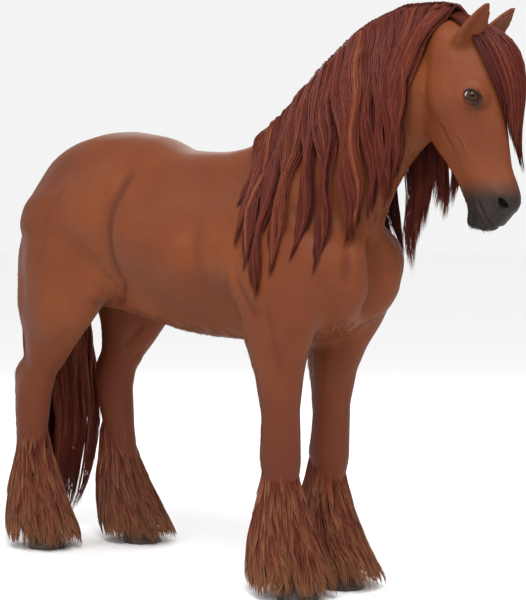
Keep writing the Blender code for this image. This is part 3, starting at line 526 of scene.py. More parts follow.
# Linear red, green and blue
COAT_LIGHT = (0.176, 0.0460, 0.0125)
COAT_MIDDLE = (0.126, 0.0295, 0.0085)
COAT_DARK = (0.072, 0.0145, 0.0080)
# Painted light: the pale that lifts the tufts out of their own shade and lights the face's ridges
PAINTED_LIGHT_PALE = (0.250, 0.0720, 0.0220)
MUZZLE_DARK = (0.020, 0.0135, 0.0115)
# Painted shade inside the nostrils
NOSTRIL_PAINTED_SHADE = (0.006, 0.004, 0.004)
HAIR_DARK = (0.048, 0.0080, 0.0065)
HAIR_MIDDLE = (0.118, 0.0230, 0.0135)
HAIR_LIGHT = (0.215, 0.0580, 0.0230)
FEATHER_ROOT = (0.112, 0.0250, 0.0100)
FEATHER_TIP = (0.270, 0.1150, 0.0520)
TAIL_PAINTED_LIGHT = 1.45  # painted light: how much lighter the tail's hair is made than the mane's, as the tail hangs in shade
HORN_DARK = (0.020, 0.012, 0.009)
HORN_LIGHT = (0.075, 0.045, 0.030)
EYE_WHITE = (0.62, 0.55, 0.48)
IRIS_DARK = (0.016, 0.0054, 0.0019)
IRIS_LIGHT = (0.100, 0.0350, 0.0100)
LIMBUS = (0.010, 0.006, 0.005)  # the dark ring round the iris
PUPIL = (0.002, 0.002, 0.003)

# ---------------------------------------------------------------- materials


def material(name, roughness, specular=0.5):
    made = bpy.data.materials.new(name)
    made.use_nodes = True
    shader = made.node_tree.nodes["Principled BSDF"]
    shader.inputs["Roughness"].default_value = roughness
    shader.inputs["Specular IOR Level"].default_value = specular
    return made, made.node_tree, shader


def fill(tree, sockets, values):
    """Links or sets each socket by its name or its number."""
    for name, value in values.items():
        if isinstance(value, bpy.types.NodeSocket):
            tree.links.new(value, sockets[name])
        elif isinstance(value, tuple):
            sockets[name].default_value = (*value, 1.0)
        else:
            sockets[name].default_value = value


def noise(tree, size, detail, where=None):
    made = tree.nodes.new("ShaderNodeTexNoise")
    fill(tree, made.inputs, {"Scale": size, "Detail": detail})
    if where:
        tree.links.new(where, made.inputs["Vector"])
    return made.outputs["Fac"]


def mixed(tree, share, one, two):
    """A colour between two, by the share."""
    made = tree.nodes.new("ShaderNodeMix")
    made.data_type = "RGBA"
    fill(tree, made.inputs, {0: share, 6: one, 7: two})
    return made.outputs[2]


def blended(tree, share, one, two):
    """A number between two, by the share."""
    made = tree.nodes.new("ShaderNodeMix")
    fill(tree, made.inputs, {0: share, 2: one, 3: two})
    return made.outputs[0]


def multiplied(tree, one, two):
    made = tree.nodes.new("ShaderNodeMath")
    made.operation = "MULTIPLY"
    fill(tree, made.inputs, {0: one, 1: two})
    return made.outputs[0]


def ranged(tree, value, low, high, to_low=0.0, to_high=1.0):
    made = tree.nodes.new("ShaderNodeMapRange")
    fill(tree, made.inputs, {"Value": value, "From Min": low, "From Max": high})
    fill(tree, made.inputs, {"To Min": to_low, "To Max": to_high})
    return made.outputs[0]


def attribute(tree, name):
    made = tree.nodes.new("ShaderNodeAttribute")
    made.attribute_name = name
    return made.outputs["Fac"]


def new_group(name, numbers, colours, outputs, kind):
    """A shader group with these named sockets, and the nodes for its two ends."""
    group = bpy.data.node_groups.new(name, "ShaderNodeTree")
    for socket in numbers:
        group.interface.new_socket(socket, in_out="INPUT", socket_type="NodeSocketFloat")
    for socket in colours:
        group.interface.new_socket(socket, in_out="INPUT", socket_type="NodeSocketColor")
    for socket in outputs:
        group.interface.new_socket(socket, in_out="OUTPUT", socket_type=kind)
    return group, group.nodes.new("NodeGroupInput").outputs, group.nodes.new("NodeGroupOutput").inputs


def placed(tree, group, values):
    """The group's outputs in this material, with its own values."""
    made = tree.nodes.new("ShaderNodeGroup")
    made.node_tree = group
    fill(tree, made.inputs, values)
    return made.outputs


def mottle_group():
    """Soft patches and fine grain over the model, for the coat and the horn."""
    numbers = ("Patch Size", "Grain Size", "Along X", "Along Z")
    group, given, wanted = new_group("mottle", numbers, (), ("Patches", "Grain"), "NodeSocketFloat")
    where = group.nodes.new("ShaderNodeTexCoord").outputs["Object"]
    lie = group.nodes.new("ShaderNodeCombineXYZ")
    fill(group, lie.inputs, {0: given["Along X"], 1: 1.0, 2: given["Along Z"]})
    squeezed = group.nodes.new("ShaderNodeVectorMath")
    squeezed.operation = "MULTIPLY"
    fill(group, squeezed.inputs, {0: where, 1: lie.outputs[0]})
    patches = noise(group, given["Patch Size"], 3.0, where)
    grain = noise(group, given["Grain Size"], 2.0, squeezed.outputs[0])
    fill(group, wanted, {"Patches": patches, "Grain": grain})
    return group


def strand_group():
    """The colour of a strand by its own tone, from its root to its tip."""
    numbers = ("Tone", "Along", "Root Share", "Tip Share")
    colours = ("Dark", "Middle", "Light", "Root", "Tip")
    group, given, wanted = new_group("strand_colour", numbers, colours, ("Colour",), "NodeSocketColor")
    body = mixed(group, ranged(group, given["Tone"], 0.0, 0.55), given["Dark"], given["Middle"])
    body = mixed(group, ranged(group, given["Tone"], 0.55, 1.0), body, given["Light"])
    rooted = multiplied(group, ranged(group, given["Along"], 0.0, 0.5, 1.0, 0.0), given["Root Share"])
    body = mixed(group, rooted, body, given["Root"])
    bleached = multiplied(group, ranged(group, given["Along"], 0.40, 0.95), given["Tip Share"])
    fill(group, wanted, {"Colour": mixed(group, bleached, body, given["Tip"])})
    return group


def mottle(tree, group, patch, grain, along_x, along_z):
    values = {"Patch Size": patch, "Grain Size": grain, "Along X": along_x, "Along Z": along_z}
    made = placed(tree, group, values)
    return made["Patches"], made["Grain"]


def finished(tree, shader, colour, height=None, distance=0.0, strength=1.0):
    """Gives the shader its colour and, from the height, its bump."""
    tree.links.new(colour, shader.inputs["Base Color"])
    if height:
        bump = tree.nodes.new("ShaderNodeBump")
        fill(tree, bump.inputs, {"Height": height, "Distance": distance, "Strength": strength})
        tree.links.new(bump.outputs[0], shader.inputs["Normal"])


def coat_material(name, group):
    """Short flat hair whose fine streaks run down the legs, neck and face and back along the barrel."""
    made, tree, shader = material(name, 0.55, 0.16)
    patches, down = mottle(tree, group, 3.2, 420.0, 1.0, 0.12)
    _, back = mottle(tree, group, 3.2, 420.0, 0.12, 0.8)
    grain = blended(tree, attribute(tree, "barrel"), down, back)
    body = mixed(tree, ranged(tree, patches, 0.35, 0.68), COAT_MIDDLE, COAT_LIGHT)
    body = mixed(tree, ranged(tree, grain, 0.3, 0.8, 0.0, 0.35), body, COAT_DARK)
    for marking, most, tone in (
        # painted light: each tuft is paler by its random tone, against the shade between its strands
        ("tone", 1.0, PAINTED_LIGHT_PALE),
        # painted highlight along the face's ridges
        ("crest_highlight", 0.38, PAINTED_LIGHT_PALE),
        # painted shade down the legs
        ("legs", 0.55, COAT_DARK),
        # painted shade in the grooves of the relief
        ("crease_shade", 0.7, COAT_DARK),
        ("muzzle", 1.0, MUZZLE_DARK),
        # the lids' own dark rim, and painted shade under the front corner of each eye
        ("eye_rim", 1.0, MUZZLE_DARK),
        # painted shade inside the nostrils
        ("nostril", 1.0, NOSTRIL_PAINTED_SHADE),
    ):
        body = mixed(tree, ranged(tree, attribute(tree, marking), 0.0, 1.0, 0.0, most), body, tone)
    finished(tree, shader, body, grain, 0.0012, 0.55)
    return made


def hair_material(name, group, roots, tips, painted_light=1.0):
    """Long hair: each strand has its own tone. It starts as the coat by roots and is bleached by tips."""
    made, tree, shader = material(name, 0.46, 0.12)
    values = {"Tone": attribute(tree, "tone"), "Along": attribute(tree, "along")}
    values |= {"Root": FEATHER_ROOT, "Root Share": roots, "Tip": FEATHER_TIP, "Tip Share": tips}
    # The tail's tones are made lighter here, as painted light; other hair keeps its tones
    for shade, tone in (("Dark", HAIR_DARK), ("Middle", HAIR_MIDDLE), ("Light", HAIR_LIGHT)):
        values[shade] = tuple(painted_light * part for part in tone)
    finished(tree, shader, placed(tree, group, values)["Colour"])
    return made


def horn_material(group):
    """Dark horn with fine fibres down it and broad rings round it."""
    made, tree, shader = material("hoof_horn", 0.5)
    _, fibres = mottle(tree, group, 14.0, 300.0, 1.0, 0.04)
    _, rings = mottle(tree, group, 14.0, 22.0, 0.1, 9.0)
    grain = blended(tree, ranged(tree, rings, 0.0, 1.0, 0.35, 0.65), fibres, rings)
    body = mixed(tree, ranged(tree, grain, 0.3, 0.7), HORN_DARK, HORN_LIGHT)
    finished(tree, shader, body, grain, 0.0008, 0.6)
    return made


def eye_material():
    """Brown iris, long pupil and a little white at the corner, under a wet shine."""
    made, tree, shader = material("eye", 0.06, 0.15)
    rays = ranged(tree, noise(tree, 240.0, 2.0), 0.35, 0.7)
    body = mixed(tree, attribute(tree, "iris"), EYE_WHITE, mixed(tree, rays, IRIS_DARK, IRIS_LIGHT))
    body = mixed(tree, attribute(tree, "limbus"), body, LIMBUS)
    finished(tree, shader, mixed(tree, attribute(tree, "pupil"), body, PUPIL))
    return made


# ---------------------------------------------------------------- stage and camera

# Each lamp: its place, its size and its power
LAMPS = {
    "key": ((2.7, -2.4, 5.0), 2.8, 250),
    "fill": ((1.5, -6.0, 2.5), 4.0, 50),
    "rim": ((-3.5, 3.5, 4.0), 3.0, 80),
}
LAMPS_AIM = (0, 0, 0.9)
FLOOR_REACH = 30
CAMERA_PLACE = (4.290, -4.278, 1.235)
CAMERA_VIEW = (-0.7071, 0.7071, 0.0)
FOCAL = 109.8
CAMERA_SHIFT = (0.0373, -0.1667)


def aimed(name, data, place, toward):
    """An object for the lamp or the camera, at its place and turned that way."""
    holder = new_object(name, data)
    holder.location = place
    holder.rotation_euler = toward.to_track_quat("-Z", "Y").to_euler()
    return holder


def make_stage():
    """Pale floor and soft light."""
    bm = bmesh.new()
    bmesh.ops.create_grid(bm, x_segments=1, y_segments=1, size=FLOOR_REACH)
    mesh = bpy.data.meshes.new("floor")
    bm.to_mesh(mesh)
    bm.free()
    floor = new_object("floor", mesh)
    floor.location.z = -0.0005
    pale, _, shader = material("pale_floor", 0.9)
    shader.inputs["Base Color"].default_value = (0.98, 0.98, 0.98, 1)
    mesh.materials.append(pale)
    world = bpy.data.worlds.new("studio")
    bpy.context.scene.world = world
    world.use_nodes = True
    world.node_tree.nodes["Background"].inputs[0].default_value = (1, 1, 1, 1)
    world.node_tree.nodes["Background"].inputs[1].default_value = 0.9
    for name, (place, size, power) in LAMPS.items():
        lamp = bpy.data.lights.new(name, "AREA")
        lamp.shape = "DISK"
        lamp.size = size
        lamp.energy = power
        aimed(name, lamp, place, Vector(LAMPS_AIM) - Vector(place))
    bpy.context.scene.view_settings.view_transform = "Standard"


def make_camera():
    camera = bpy.data.cameras.new("camera")
    camera.sensor_width = 36
    camera.lens = FOCAL
    camera.shift_x, camera.shift_y = CAMERA_SHIFT
    bpy.context.scene.camera = aimed("camera", camera, CAMERA_PLACE, Vector(CAMERA_VIEW))


# ---------------------------------------------------------------- eyes


def make_eye(eye, look):
    """An eyeball whose front bulges as the cornea, with the iris and the level pupil marked on it."""
    bm = bmesh.new()
    bmesh.ops.create_uvsphere(bm, u_segments=96, v_segments=64, radius=EYE_RADIUS)
    mesh = bpy.data.meshes.new("eyeball_" + eye.name)
    bm.to_mesh(mesh)
    bm.free()
    own = places_of(mesh)
    facing = own[:, 2] > 0
    from_middle = np.hypot(own[:, 0], own[:, 1]) / EYE_RADIUS
    own[:, 2] += np.where(facing, CORNEA_BULGE * (1 - smooth(0.0, 0.72, from_middle)), 0)
    ahead, above = own[:, 0] - IRIS_AHEAD, own[:, 1]
    reach = np.hypot(ahead, above) / EYE_RADIUS
    marks = {
        "iris": (1 - smooth(0.70, 0.74, reach)) * facing,
        "limbus": bell(reach, 0.71, 0.07) * facing,
        "pupil": (1 - smooth(0.75, 1.0, np.hypot(ahead / 0.0095, above / 0.0066))) * facing,
    }
    move_to(mesh, eye.middle + own @ np.stack([eye.along, eye.up, eye.out]))
    for name, values in marks.items():
        numbers_on(mesh, name, values)
    mesh.shade_smooth()
    obj = new_object("eyeball_" + eye.name, mesh)
    mesh.materials.append(look)
    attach(obj, "root")
    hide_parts("eye_" + eye.name)


# ---------------------------------------------------------------- hair


def surface_of(*nodes):
    """These parts of the frame as one surface, to find where a line meets them."""
    places, faces, before = [], [], 0
    for name in nodes:
        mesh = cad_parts[name].data
        places.append(places_of(mesh))
        faces += [tuple(before + i for i in face.vertices) for face in mesh.polygons]
        before += len(mesh.vertices)
    return BVHTree.FromPolygons(np.concatenate(places).tolist(), faces)


class Unwrap:
    """The flesh laid out flat, which gives each tuft the place of its root on it."""

    def __init__(self):
        flesh = joined_nodes("unwrapped_flesh", FLESH)
        bpy.context.view_layer.objects.active = flesh
        flesh.select_set(True)
        bpy.ops.object.mode_set(mode="EDIT")
        bpy.ops.mesh.select_all(action="SELECT")
        bpy.ops.uv.smart_project(angle_limit=math.radians(66), island_margin=0.004)
        bpy.ops.object.mode_set(mode="OBJECT")
        mesh = flesh.data
        flat = np.empty(len(mesh.loops) * 2, np.float32)
        mesh.uv_layers.active.data.foreach_get("uv", flat)
        self.flat = flat.reshape(-1, 2)
        self.starts = [face.loop_start for face in mesh.polygons]
        self.corners = [[mesh.vertices[i].co.copy() for i in face.vertices][:3] for face in mesh.polygons]
        faces = [tuple(face.vertices) for face in mesh.polygons]
        self.tree = BVHTree.FromPolygons([v.co for v in mesh.vertices], faces)
        bpy.data.objects.remove(flesh)

    def at(self, places):
        found = np.empty((len(places), 2))
        for n, place in enumerate(places):
            near, _, face, _ = self.tree.find_nearest(Vector(place))
            one, two, three = self.corners[face]
            area = (two - one).cross(three - one)
            whole = max(area.length_squared, 1e-16)
            b = (near - one).cross(three - one).dot(area) / whole
            c = (two - one).cross(near - one).dot(area) / whole
            start = self.starts[face]
            corner = self.flat[start], self.flat[start + 1], self.flat[start + 2]
            found[n] = (1 - b - c) * corner[0] + b * corner[1] + c * corner[2]
        return found


unwrap = Unwrap()


def strand_places(paths, widths, out):
    """The corners of closed strands round their paths; given the way out of the skin, they lie flat on it."""
    along = unit(np.gradient(paths, axis=1))
    if out is None:
        away, tall = unit(np.cross(along, np.array((0.31, 0.83, 0.46)))), 1
    else:
        away, tall = square_to(along, out), FLATNESS
    across = np.cross(along, away)
    up, aside = tall * np.sin(CORNERS)[:, None], np.cos(CORNERS)[:, None]
    turned = away[:, :, None] * up + across[:, :, None] * aside
    rings = paths[:, :, None] + turned * widths[:, :, None, None]
    return np.concatenate([rings[:, :-1].reshape(len(paths), -1, 3), paths[:, -1:]], axis=1)


def strand_faces(steps):
    """The faces of one such strand: its root, its sides and its point."""
    faces = [(0, 1, 2)]
    for step in range(steps - 2):
        for k in range(3):
            a, b = step * 3 + k, step * 3 + (k + 1) % 3
            faces += [(a, b + 3, b), (a, a + 3, b + 3)]
    last, point = (steps - 2) * 3, (steps - 1) * 3
    faces += [(last + (k + 1) % 3, last + k, point) for k in range(3)]
    return np.array(faces)


def strand_mesh(name, places, faces):
    """A mesh of many strands, and the vertex at each corner of its faces."""
    count, each = places.shape[:2]
    corners = (faces[None] + np.arange(count)[:, None, None] * each).reshape(-1)
    mesh = bpy.data.meshes.new(name)
    mesh.vertices.add(count * each)
    mesh.vertices.foreach_set("co", places.astype(np.float32).ravel())
    mesh.loops.add(len(corners))
    mesh.loops.foreach_set("vertex_index", corners.astype(np.int32))
    mesh.polygons.add(len(corners) // 3)
    mesh.polygons.foreach_set("loop_start", np.arange(0, len(corners), 3, dtype=np.int32))
    mesh.update(calc_edges=True)
    return mesh, corners


class Hair:
    """Collects strands, and turns them into one piece."""

    def __init__(self, steps):
        self.steps = steps
        self.paths, self.widths, self.tones, self.outs = [], [], [], []

    def add(self, paths, widths, tones, out=None):
        """Strands along paths; those of the short coat also say which way is out of the skin."""
        self.paths.append(paths)
        self.widths.append(widths)
        self.tones.append(tones)
        if out is not None:
            self.outs.append(out)

    def piece(self, name, look, nodes, slot="long_hair", part=slice(None), marks=None):
        """A solid mesh of these strands, each with its tone, its markings and its patch on the unwrap."""
        paths, widths, tones = (np.concatenate(kept)[part] for kept in (self.paths, self.widths, self.tones))
        out = np.concatenate(self.outs)[part][:, None] if self.outs else None
        places = strand_places(paths, widths, out)
        count, each = places.shape[:2]
        mesh, corners = strand_mesh(name, places, strand_faces(self.steps))
        rings = self.steps - 1
        along = np.append(np.repeat(np.arange(rings) / rings, 3), 1.0)
        numbers_on(mesh, "tone", np.repeat(tones, each))
        numbers_on(mesh, "along", np.tile(along, count))
        for mark, values in (marks(paths[:, 0]) if marks else {}).items():
            numbers_on(mesh, mark, np.repeat(values, each))
        around = np.append(np.tile((0.0, 0.5, 1.0), rings), 0.5)
        patch = np.stack([around, along], axis=1) * PATCH
        flat = (unwrap.at(paths[:, 0])[:, None] * (1 - PATCH) + patch).reshape(-1, 2)[corners]
        mesh.uv_layers.new(name="OFBake").data.foreach_set("uv", flat.astype(np.float32).ravel())
        if out is None:
            mesh.shade_smooth()
        mesh.materials.append(look)
        obj = new_object(name, mesh)
        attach(obj, "root")
        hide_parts(*nodes)
        return obj


def point_at(path, shares):
    """The path's places at these shares of its length."""
    at = np.linspace(0, 1, len(path))
    return np.stack([np.interp(shares, at, path[:, axis]) for axis in range(3)], axis=-1)


def evenly(path, count):
    """The path with its places set evenly along it."""
    steps = np.linalg.norm(np.diff(path, axis=0), axis=1)
    travelled = np.concatenate([[0], np.cumsum(steps)])
    at = np.linspace(0, travelled[-1], count)
    return np.stack([np.interp(at, travelled, path[:, axis]) for axis in range(3)], axis=-1)


def rounded(path, rounds):
    """The path with its corners eased; both ends stay."""
    path = path.copy()
    for _ in range(rounds):
        path[1:-1] = (path[:-2] + 2 * path[1:-1] + path[2:]) / 4
    return path


def wisp(hair, path, out, wide, deep, count, strand, tone, point=2.4, root=0.55, ragged=0.14):
    """Adds strands that run together along the path, swell and then close to one point.

    wide and deep are the wisp's half sizes, and strand is the half width of one strand. root is how full the
    wisp starts, point is how late it closes, and ragged is the share of the path its ends may fall short by.
    """
    shares = np.linspace(0, 1, hair.steps)
    length = np.linalg.norm(np.diff(path, axis=0), axis=1).sum()
    ends = 1 - ragged * rng.random(count) ** 1.5
    at = shares[None] * ends[:, None]
    middle = point_at(path, at.ravel()).reshape(count, hair.steps, 3)
    out = point_at(out, at.ravel()).reshape(count, hair.steps, 3)
    along = unit(np.gradient(middle, axis=1))
    out = square_to(along, out)
    across = np.cross(along, out)
    angle = rng.random(count) * 2 * math.pi
    reach = np.sqrt(rng.random(count))
    turn = angle[:, None] + WISP_TWIST * rng.normal() * at
    swollen = (root + (1 - root) * smooth(0, 0.25, at)) * (1 - at**point)
    aside = np.cos(turn) * reach[:, None] * swollen * wide
    outward = np.sin(turn) * reach[:, None] * swollen * deep
    stray = rng.normal(size=(count, 1)) * 0.006 * length * at**2
    places = middle + across * (aside + stray)[:, :, None] + out * outward[:, :, None]
    sizes = strand * (0.8 + 0.5 * rng.random((count, 1)))
    widths = sizes * (0.72 + 0.28 * smooth(0, 0.15, shares)) * (1 - 0.72 * shares**2.2)
    # Strands on the wisp's outer side are paler and those towards the skin darker: painted light and shade,
    # over a tone that differs at random
    tones = np.clip(tone + 0.06 * rng.normal(size=count) + 0.10 * np.sin(angle), 0, 1)
    hair.add(places, widths, tones)


# ---------------------------------------------------------------- mane

# Where each lock leaves the crest, and where its point hangs: x of the root, then x and z of the tip
MANE_RIGHT = (
    (0.869, 0.764, 1.500), (0.844, 0.757, 1.400), (0.804, 0.754, 1.330), (0.754, 0.739, 1.270),
    (0.704, 0.724, 1.235), (0.654, 0.704, 1.195), (0.599, 0.666, 1.160), (0.544, 0.619, 1.110),
    (0.489, 0.594, 1.080), (0.434, 0.533, 0.990), (0.379, 0.467, 1.030), (0.329, 0.399, 0.975),
    (0.279, 0.340, 0.905), (0.229, 0.294, 1.000), (0.184, 0.247, 1.070), (0.161, 0.214, 1.205),
)
MANE_LEFT = (
    (0.869, 0.795, 1.195), (0.829, 0.752, 1.155), (0.779, 0.724, 1.190), (0.724, 0.683, 1.125),
    (0.669, 0.657, 1.070), (0.599, 0.625, 0.990), (0.529, 0.539, 1.030), (0.459, 0.469, 1.040),
    (0.389, 0.399, 0.980), (0.319, 0.344, 0.930), (0.249, 0.299, 1.010), (0.184, 0.249, 1.090),
    (0.134, 0.209, 1.200),
)
MANE_FROM = 0.158
MANE_TO = 0.880
TOP_OF_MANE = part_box("mane_right")[1].z
RIDGE_DEPTH = 0.09  # how far below the crest both sides' hair lies over each other
LOCK_HALF_WIDTH = 0.046
WAVE_HEIGHT = 0.012
WAVE_LENGTH = 0.25
PATH_STEPS = 40

# The surfaces that the mane lies on and under
flesh = surface_of(*FLESH)
both_manes = surface_of("mane_right", "mane_left")
one_mane = {-1: surface_of("mane_right"), 1: surface_of("mane_left")}
DOWN = Vector((0, 0, -1))


class Crest:
    """The line along the top of the neck where the mane grows."""

    def __init__(self):
        self.x = np.linspace(0.14, 0.90, 16)
        tops = []
        for x in self.x:
            hits = [flesh.ray_cast(Vector((x, y, 3)), DOWN)[0] for y in np.linspace(-0.08, 0.14, 23)]
            tops.append(max((hit.z, hit.y) for hit in hits if hit)[1])
        self.left = np.polyval(np.polyfit(self.x, tops, 3), self.x)

    def at(self, x):
        return float(np.interp(x, self.x, self.left))


crest = Crest()


def fall(side, start, tip, inset, wave, phase):
    """A path from the crest over the side of the neck to a lock's tip, just under the mane's own surface."""
    shares = np.linspace(0, 1, PATH_STEPS + 4)
    left = crest.at(start)
    above = Vector((start, left, 3))
    top = both_manes.ray_cast(above, DOWN)[0] or flesh.ray_cast(above, DOWN)[0]
    drop = top.z - tip[1]
    x = start + (tip[0] - start) * smooth(0, 0.7, shares)
    x = x + wave * smooth(0.05, 0.4, shares) * np.sin(2 * math.pi * (shares * drop / WAVE_LENGTH + phase))
    z = top.z - drop * (0.06 * shares + 0.94 * shares**1.25)
    away, places = 0.0, []
    for share, px, pz in zip(shares, x, z):
        ray = Vector((px, side * 2, pz)), Vector((0, -side, 0))
        shell = both_manes if top.z - pz < RIDGE_DEPTH else one_mane[side]
        hit, inner = shell.ray_cast(*ray)[0], flesh.ray_cast(*ray)[0]
        if hit:
            away = side * (hit.y - left) - inset * smooth(0.0, 0.14, share)
        if inner:
            away = max(away, side * (inner.y - left) + 0.004)
        places.append((px, left + side * away, pz))
    places = np.array(places)
    places[0, 1] = left + side * 0.004
    return evenly(rounded(places, 5), PATH_STEPS)


def make_mane(hair, side, table, layers, strands):
    """Locks side by side along the crest, each of many wisps, with so many wisps in each layer."""
    for root_x, *tip in table:
        drift = rng.random()
        lock_tone = 0.40 + 0.10 * rng.normal()
        for layer, many in enumerate(layers):
            for k in range(many):
                place = (k + 0.5 + 0.35 * (rng.random() - 0.5)) / many * 2 - 1
                start = min(max(root_x + place * LOCK_HALF_WIDTH * 0.95, MANE_FROM), MANE_TO)
                short = (0.06 + 0.26 * rng.random()) * abs(place) ** 1.4 + 0.02 * rng.random() + 0.05 * layer
                end_x = tip[0] + place * LOCK_HALF_WIDTH * 0.26
                end_z = tip[1] + short * (TOP_OF_MANE - tip[1]) * 0.45
                inset = 0.008 + 0.006 * rng.random() + 0.017 * layer
                wave = WAVE_HEIGHT * (0.8 + 0.5 * rng.random())
                path = fall(side, start, (end_x, end_z), inset, wave, drift + 0.10 * place)
                out = np.tile((0.0, side, 0.35), (len(path), 1))
                out[:6] = np.linspace((0, side * 0.2, 1), (0, side, 0.35), 6)
                # The inner layer, under the outer one, is darker: painted shade
                tone = lock_tone + 0.17 * rng.normal() - 0.12 * layer
                wide = LOCK_HALF_WIDTH * (1.25 / many) * (1.25 if layer else 1.0) + 0.002
                wisp(hair, path, out, wide, 0.008, strands, LONG_STRAND, tone, ragged=0.08)


# ---------------------------------------------------------------- forelock

# Down the face, ahead of it and to its left, along the forelock's near and far edges
FORELOCK_NEAR = (
    (-0.030, -0.030, -0.016), (0.030, 0.032, -0.034), (0.086, 0.050, -0.042), (0.135, 0.061, -0.045),
    (0.183, 0.068, -0.042), (0.224, 0.073, -0.032), (0.260, 0.072, -0.020), (0.306, 0.061, -0.014),
    (0.351, 0.053, -0.008), (0.420, 0.048, 0.004), (0.480, 0.050, 0.024),
)
FORELOCK_FAR = (
    (-0.030, -0.030, 0.030), (0.030, 0.050, 0.046), (0.080, 0.094, 0.062), (0.130, 0.110, 0.072),
    (0.190, 0.110, 0.070), (0.265, 0.089, 0.066), (0.320, 0.069, 0.064), (0.376, 0.052, 0.062),
    (0.420, 0.044, 0.060), (0.470, 0.040, 0.058), (0.520, 0.038, 0.056),
)
# Each lock: its share of the way from the near edge to the far one, and how far down its point hangs
FORELOCK = (
    (0.00, 0.360), (0.10, 0.410), (0.22, 0.440), (0.34, 0.460), (0.46, 0.475), (0.58, 0.480), (0.70, 0.490),
    (0.82, 0.490), (0.93, 0.485),
)
WISPS_A_LOCK = 9
FORELOCK_DOWN = np.linspace(-0.03, 0.48, 50)  # where its edges are read, down the face


def forelock_edge(table):
    known = np.array(table).T
    return rounded(np.stack([np.interp(FORELOCK_DOWN, known[0], part) for part in known], axis=-1), 8)


def make_forelock(hair):
    """Locks between the two edges, each with its own point, that swell a little away from the face."""
    near, far = forelock_edge(FORELOCK_NEAR), forelock_edge(FORELOCK_FAR)
    swell = 0.020 * smooth(0, 0.1, FORELOCK_DOWN) * (1 - smooth(0.2, 0.45, FORELOCK_DOWN))
    for n, (share, tip) in enumerate(FORELOCK):
        own = near * (1 - share) + far * share
        own[:, 1] += 4 * share * (1 - share) * swell
        line = evenly(np.array([head.at(*place) for place in own[FORELOCK_DOWN <= tip]]), PATH_STEPS)
        out = unit(line - head.at(0, -0.05, 0) - (head.own(line)[:, :1]) * head.down)
        across = np.cross(unit(np.gradient(line, axis=0)), out)
        lock_tone = 0.36 + 0.09 * rng.normal()
        for k in range(WISPS_A_LOCK):
            place = (k + 0.5) / WISPS_A_LOCK * 2 - 1
            shares = np.linspace(0, 1, PATH_STEPS)[:, None]
            spread = place * 0.017 * (1 - 0.75 * shares**2)
            wave = 0.006 * np.sin(2 * math.pi * (1.5 * shares + 0.1 * n + 0.05 * place)) * shares
            path = line + across * (spread + wave) + out * (0.003 + 0.003 * rng.random() + 0.004 * (k % 2))
            path = path[: PATH_STEPS - int(9 * rng.random() * (0.2 + abs(place)))]
            tone = lock_tone + 0.15 * rng.normal()
            wisp(hair, path, out[: len(path)], 0.0078, 0.006, 16, LONG_STRAND, tone)


# ---------------------------------------------------------------- tail and feather


class Column:
    """A hair solid of the frame as heights and directions round its middle line."""

    def __init__(self, name, *carriers):
        self.tree = surface_of(name, *carriers)
        places = places_of(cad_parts[name].data)
        self.low, self.high = places[:, 2].min(), places[:, 2].max()
        self.z = np.linspace(self.low + 0.01, self.high - 0.01, 24)
        middles = []
        for z in self.z:
            near = places[np.abs(places[:, 2] - z) < 0.06]
            middles.append((near[:, :2].min(axis=0) + near[:, :2].max(axis=0)) / 2)
        self.middles = rounded(np.array(middles), 2)

    def middle(self, z):
        return np.array([np.interp(z, self.z, self.middles[:, axis]) for axis in (0, 1)] + [z])

    def at(self, z, angle, inset):
        """The place just under the surface there, and the way out of it."""
        middle = self.middle(z)
        level = self.middle(max(z, self.low + 0.006))
        out = np.array((math.cos(angle), math.sin(angle), 0))
        hit = self.tree.ray_cast(Vector(level + out * 0.6), Vector(-out))[0]
        reach = 0.01 if hit is None else max((np.array(hit) - level) @ out, 0.01)
        return middle + out * max(reach - inset, 0.004), out


def column_path(column, start, end, angle, swing, inset, steps):
    """Down over the column's surface from one height to another, turning round it a little."""
    path, outs = [], []
    for share in np.linspace(0, 1, steps):
        deeper = inset + 0.006 * (1 - share)
        place, out = column.at(start + (end - start) * share, angle + swing * share * share, deeper)
        path.append(place)
        outs.append(out)
    return rounded(np.array(path), 2), np.array(outs)


TAIL_WISPS = 84
FEATHER_TIERS = 8  # the last one lies under the others


def make_tail(hair):
    """Wisps round the tail in two layers, which end at different heights."""
    column = Column("tail")
    for n in range(TAIL_WISPS):
        layer = n % 2
        angle = 2 * math.pi * (n + rng.random() * 0.6) / TAIL_WISPS
        start = column.high - 0.02 - 0.16 * rng.random() * (n % 3 > 0)
        end = column.low + 0.02 + 0.55 * rng.random() ** 2.2 * (1.0 if n % 3 else 0.3)
        swing = 0.5 * (rng.random() - 0.5)
        path, out = column_path(column, start, end, angle, swing, 0.008 + 0.018 * layer, 26)
        shares = np.linspace(0, 1, len(path))[:, None]
        across = np.cross(out, (0, 0, 1.0))
        path = path + across * 0.008 * np.sin(2 * math.pi * (shares * 3.2 + angle)) * shares
        path[:, 2] = np.maximum(path[:, 2], 0.006)
        wisp(hair, path, out, 0.017, 0.011, 26, COARSE_STRAND, 0.50 + 0.12 * rng.normal(), root=0.4)


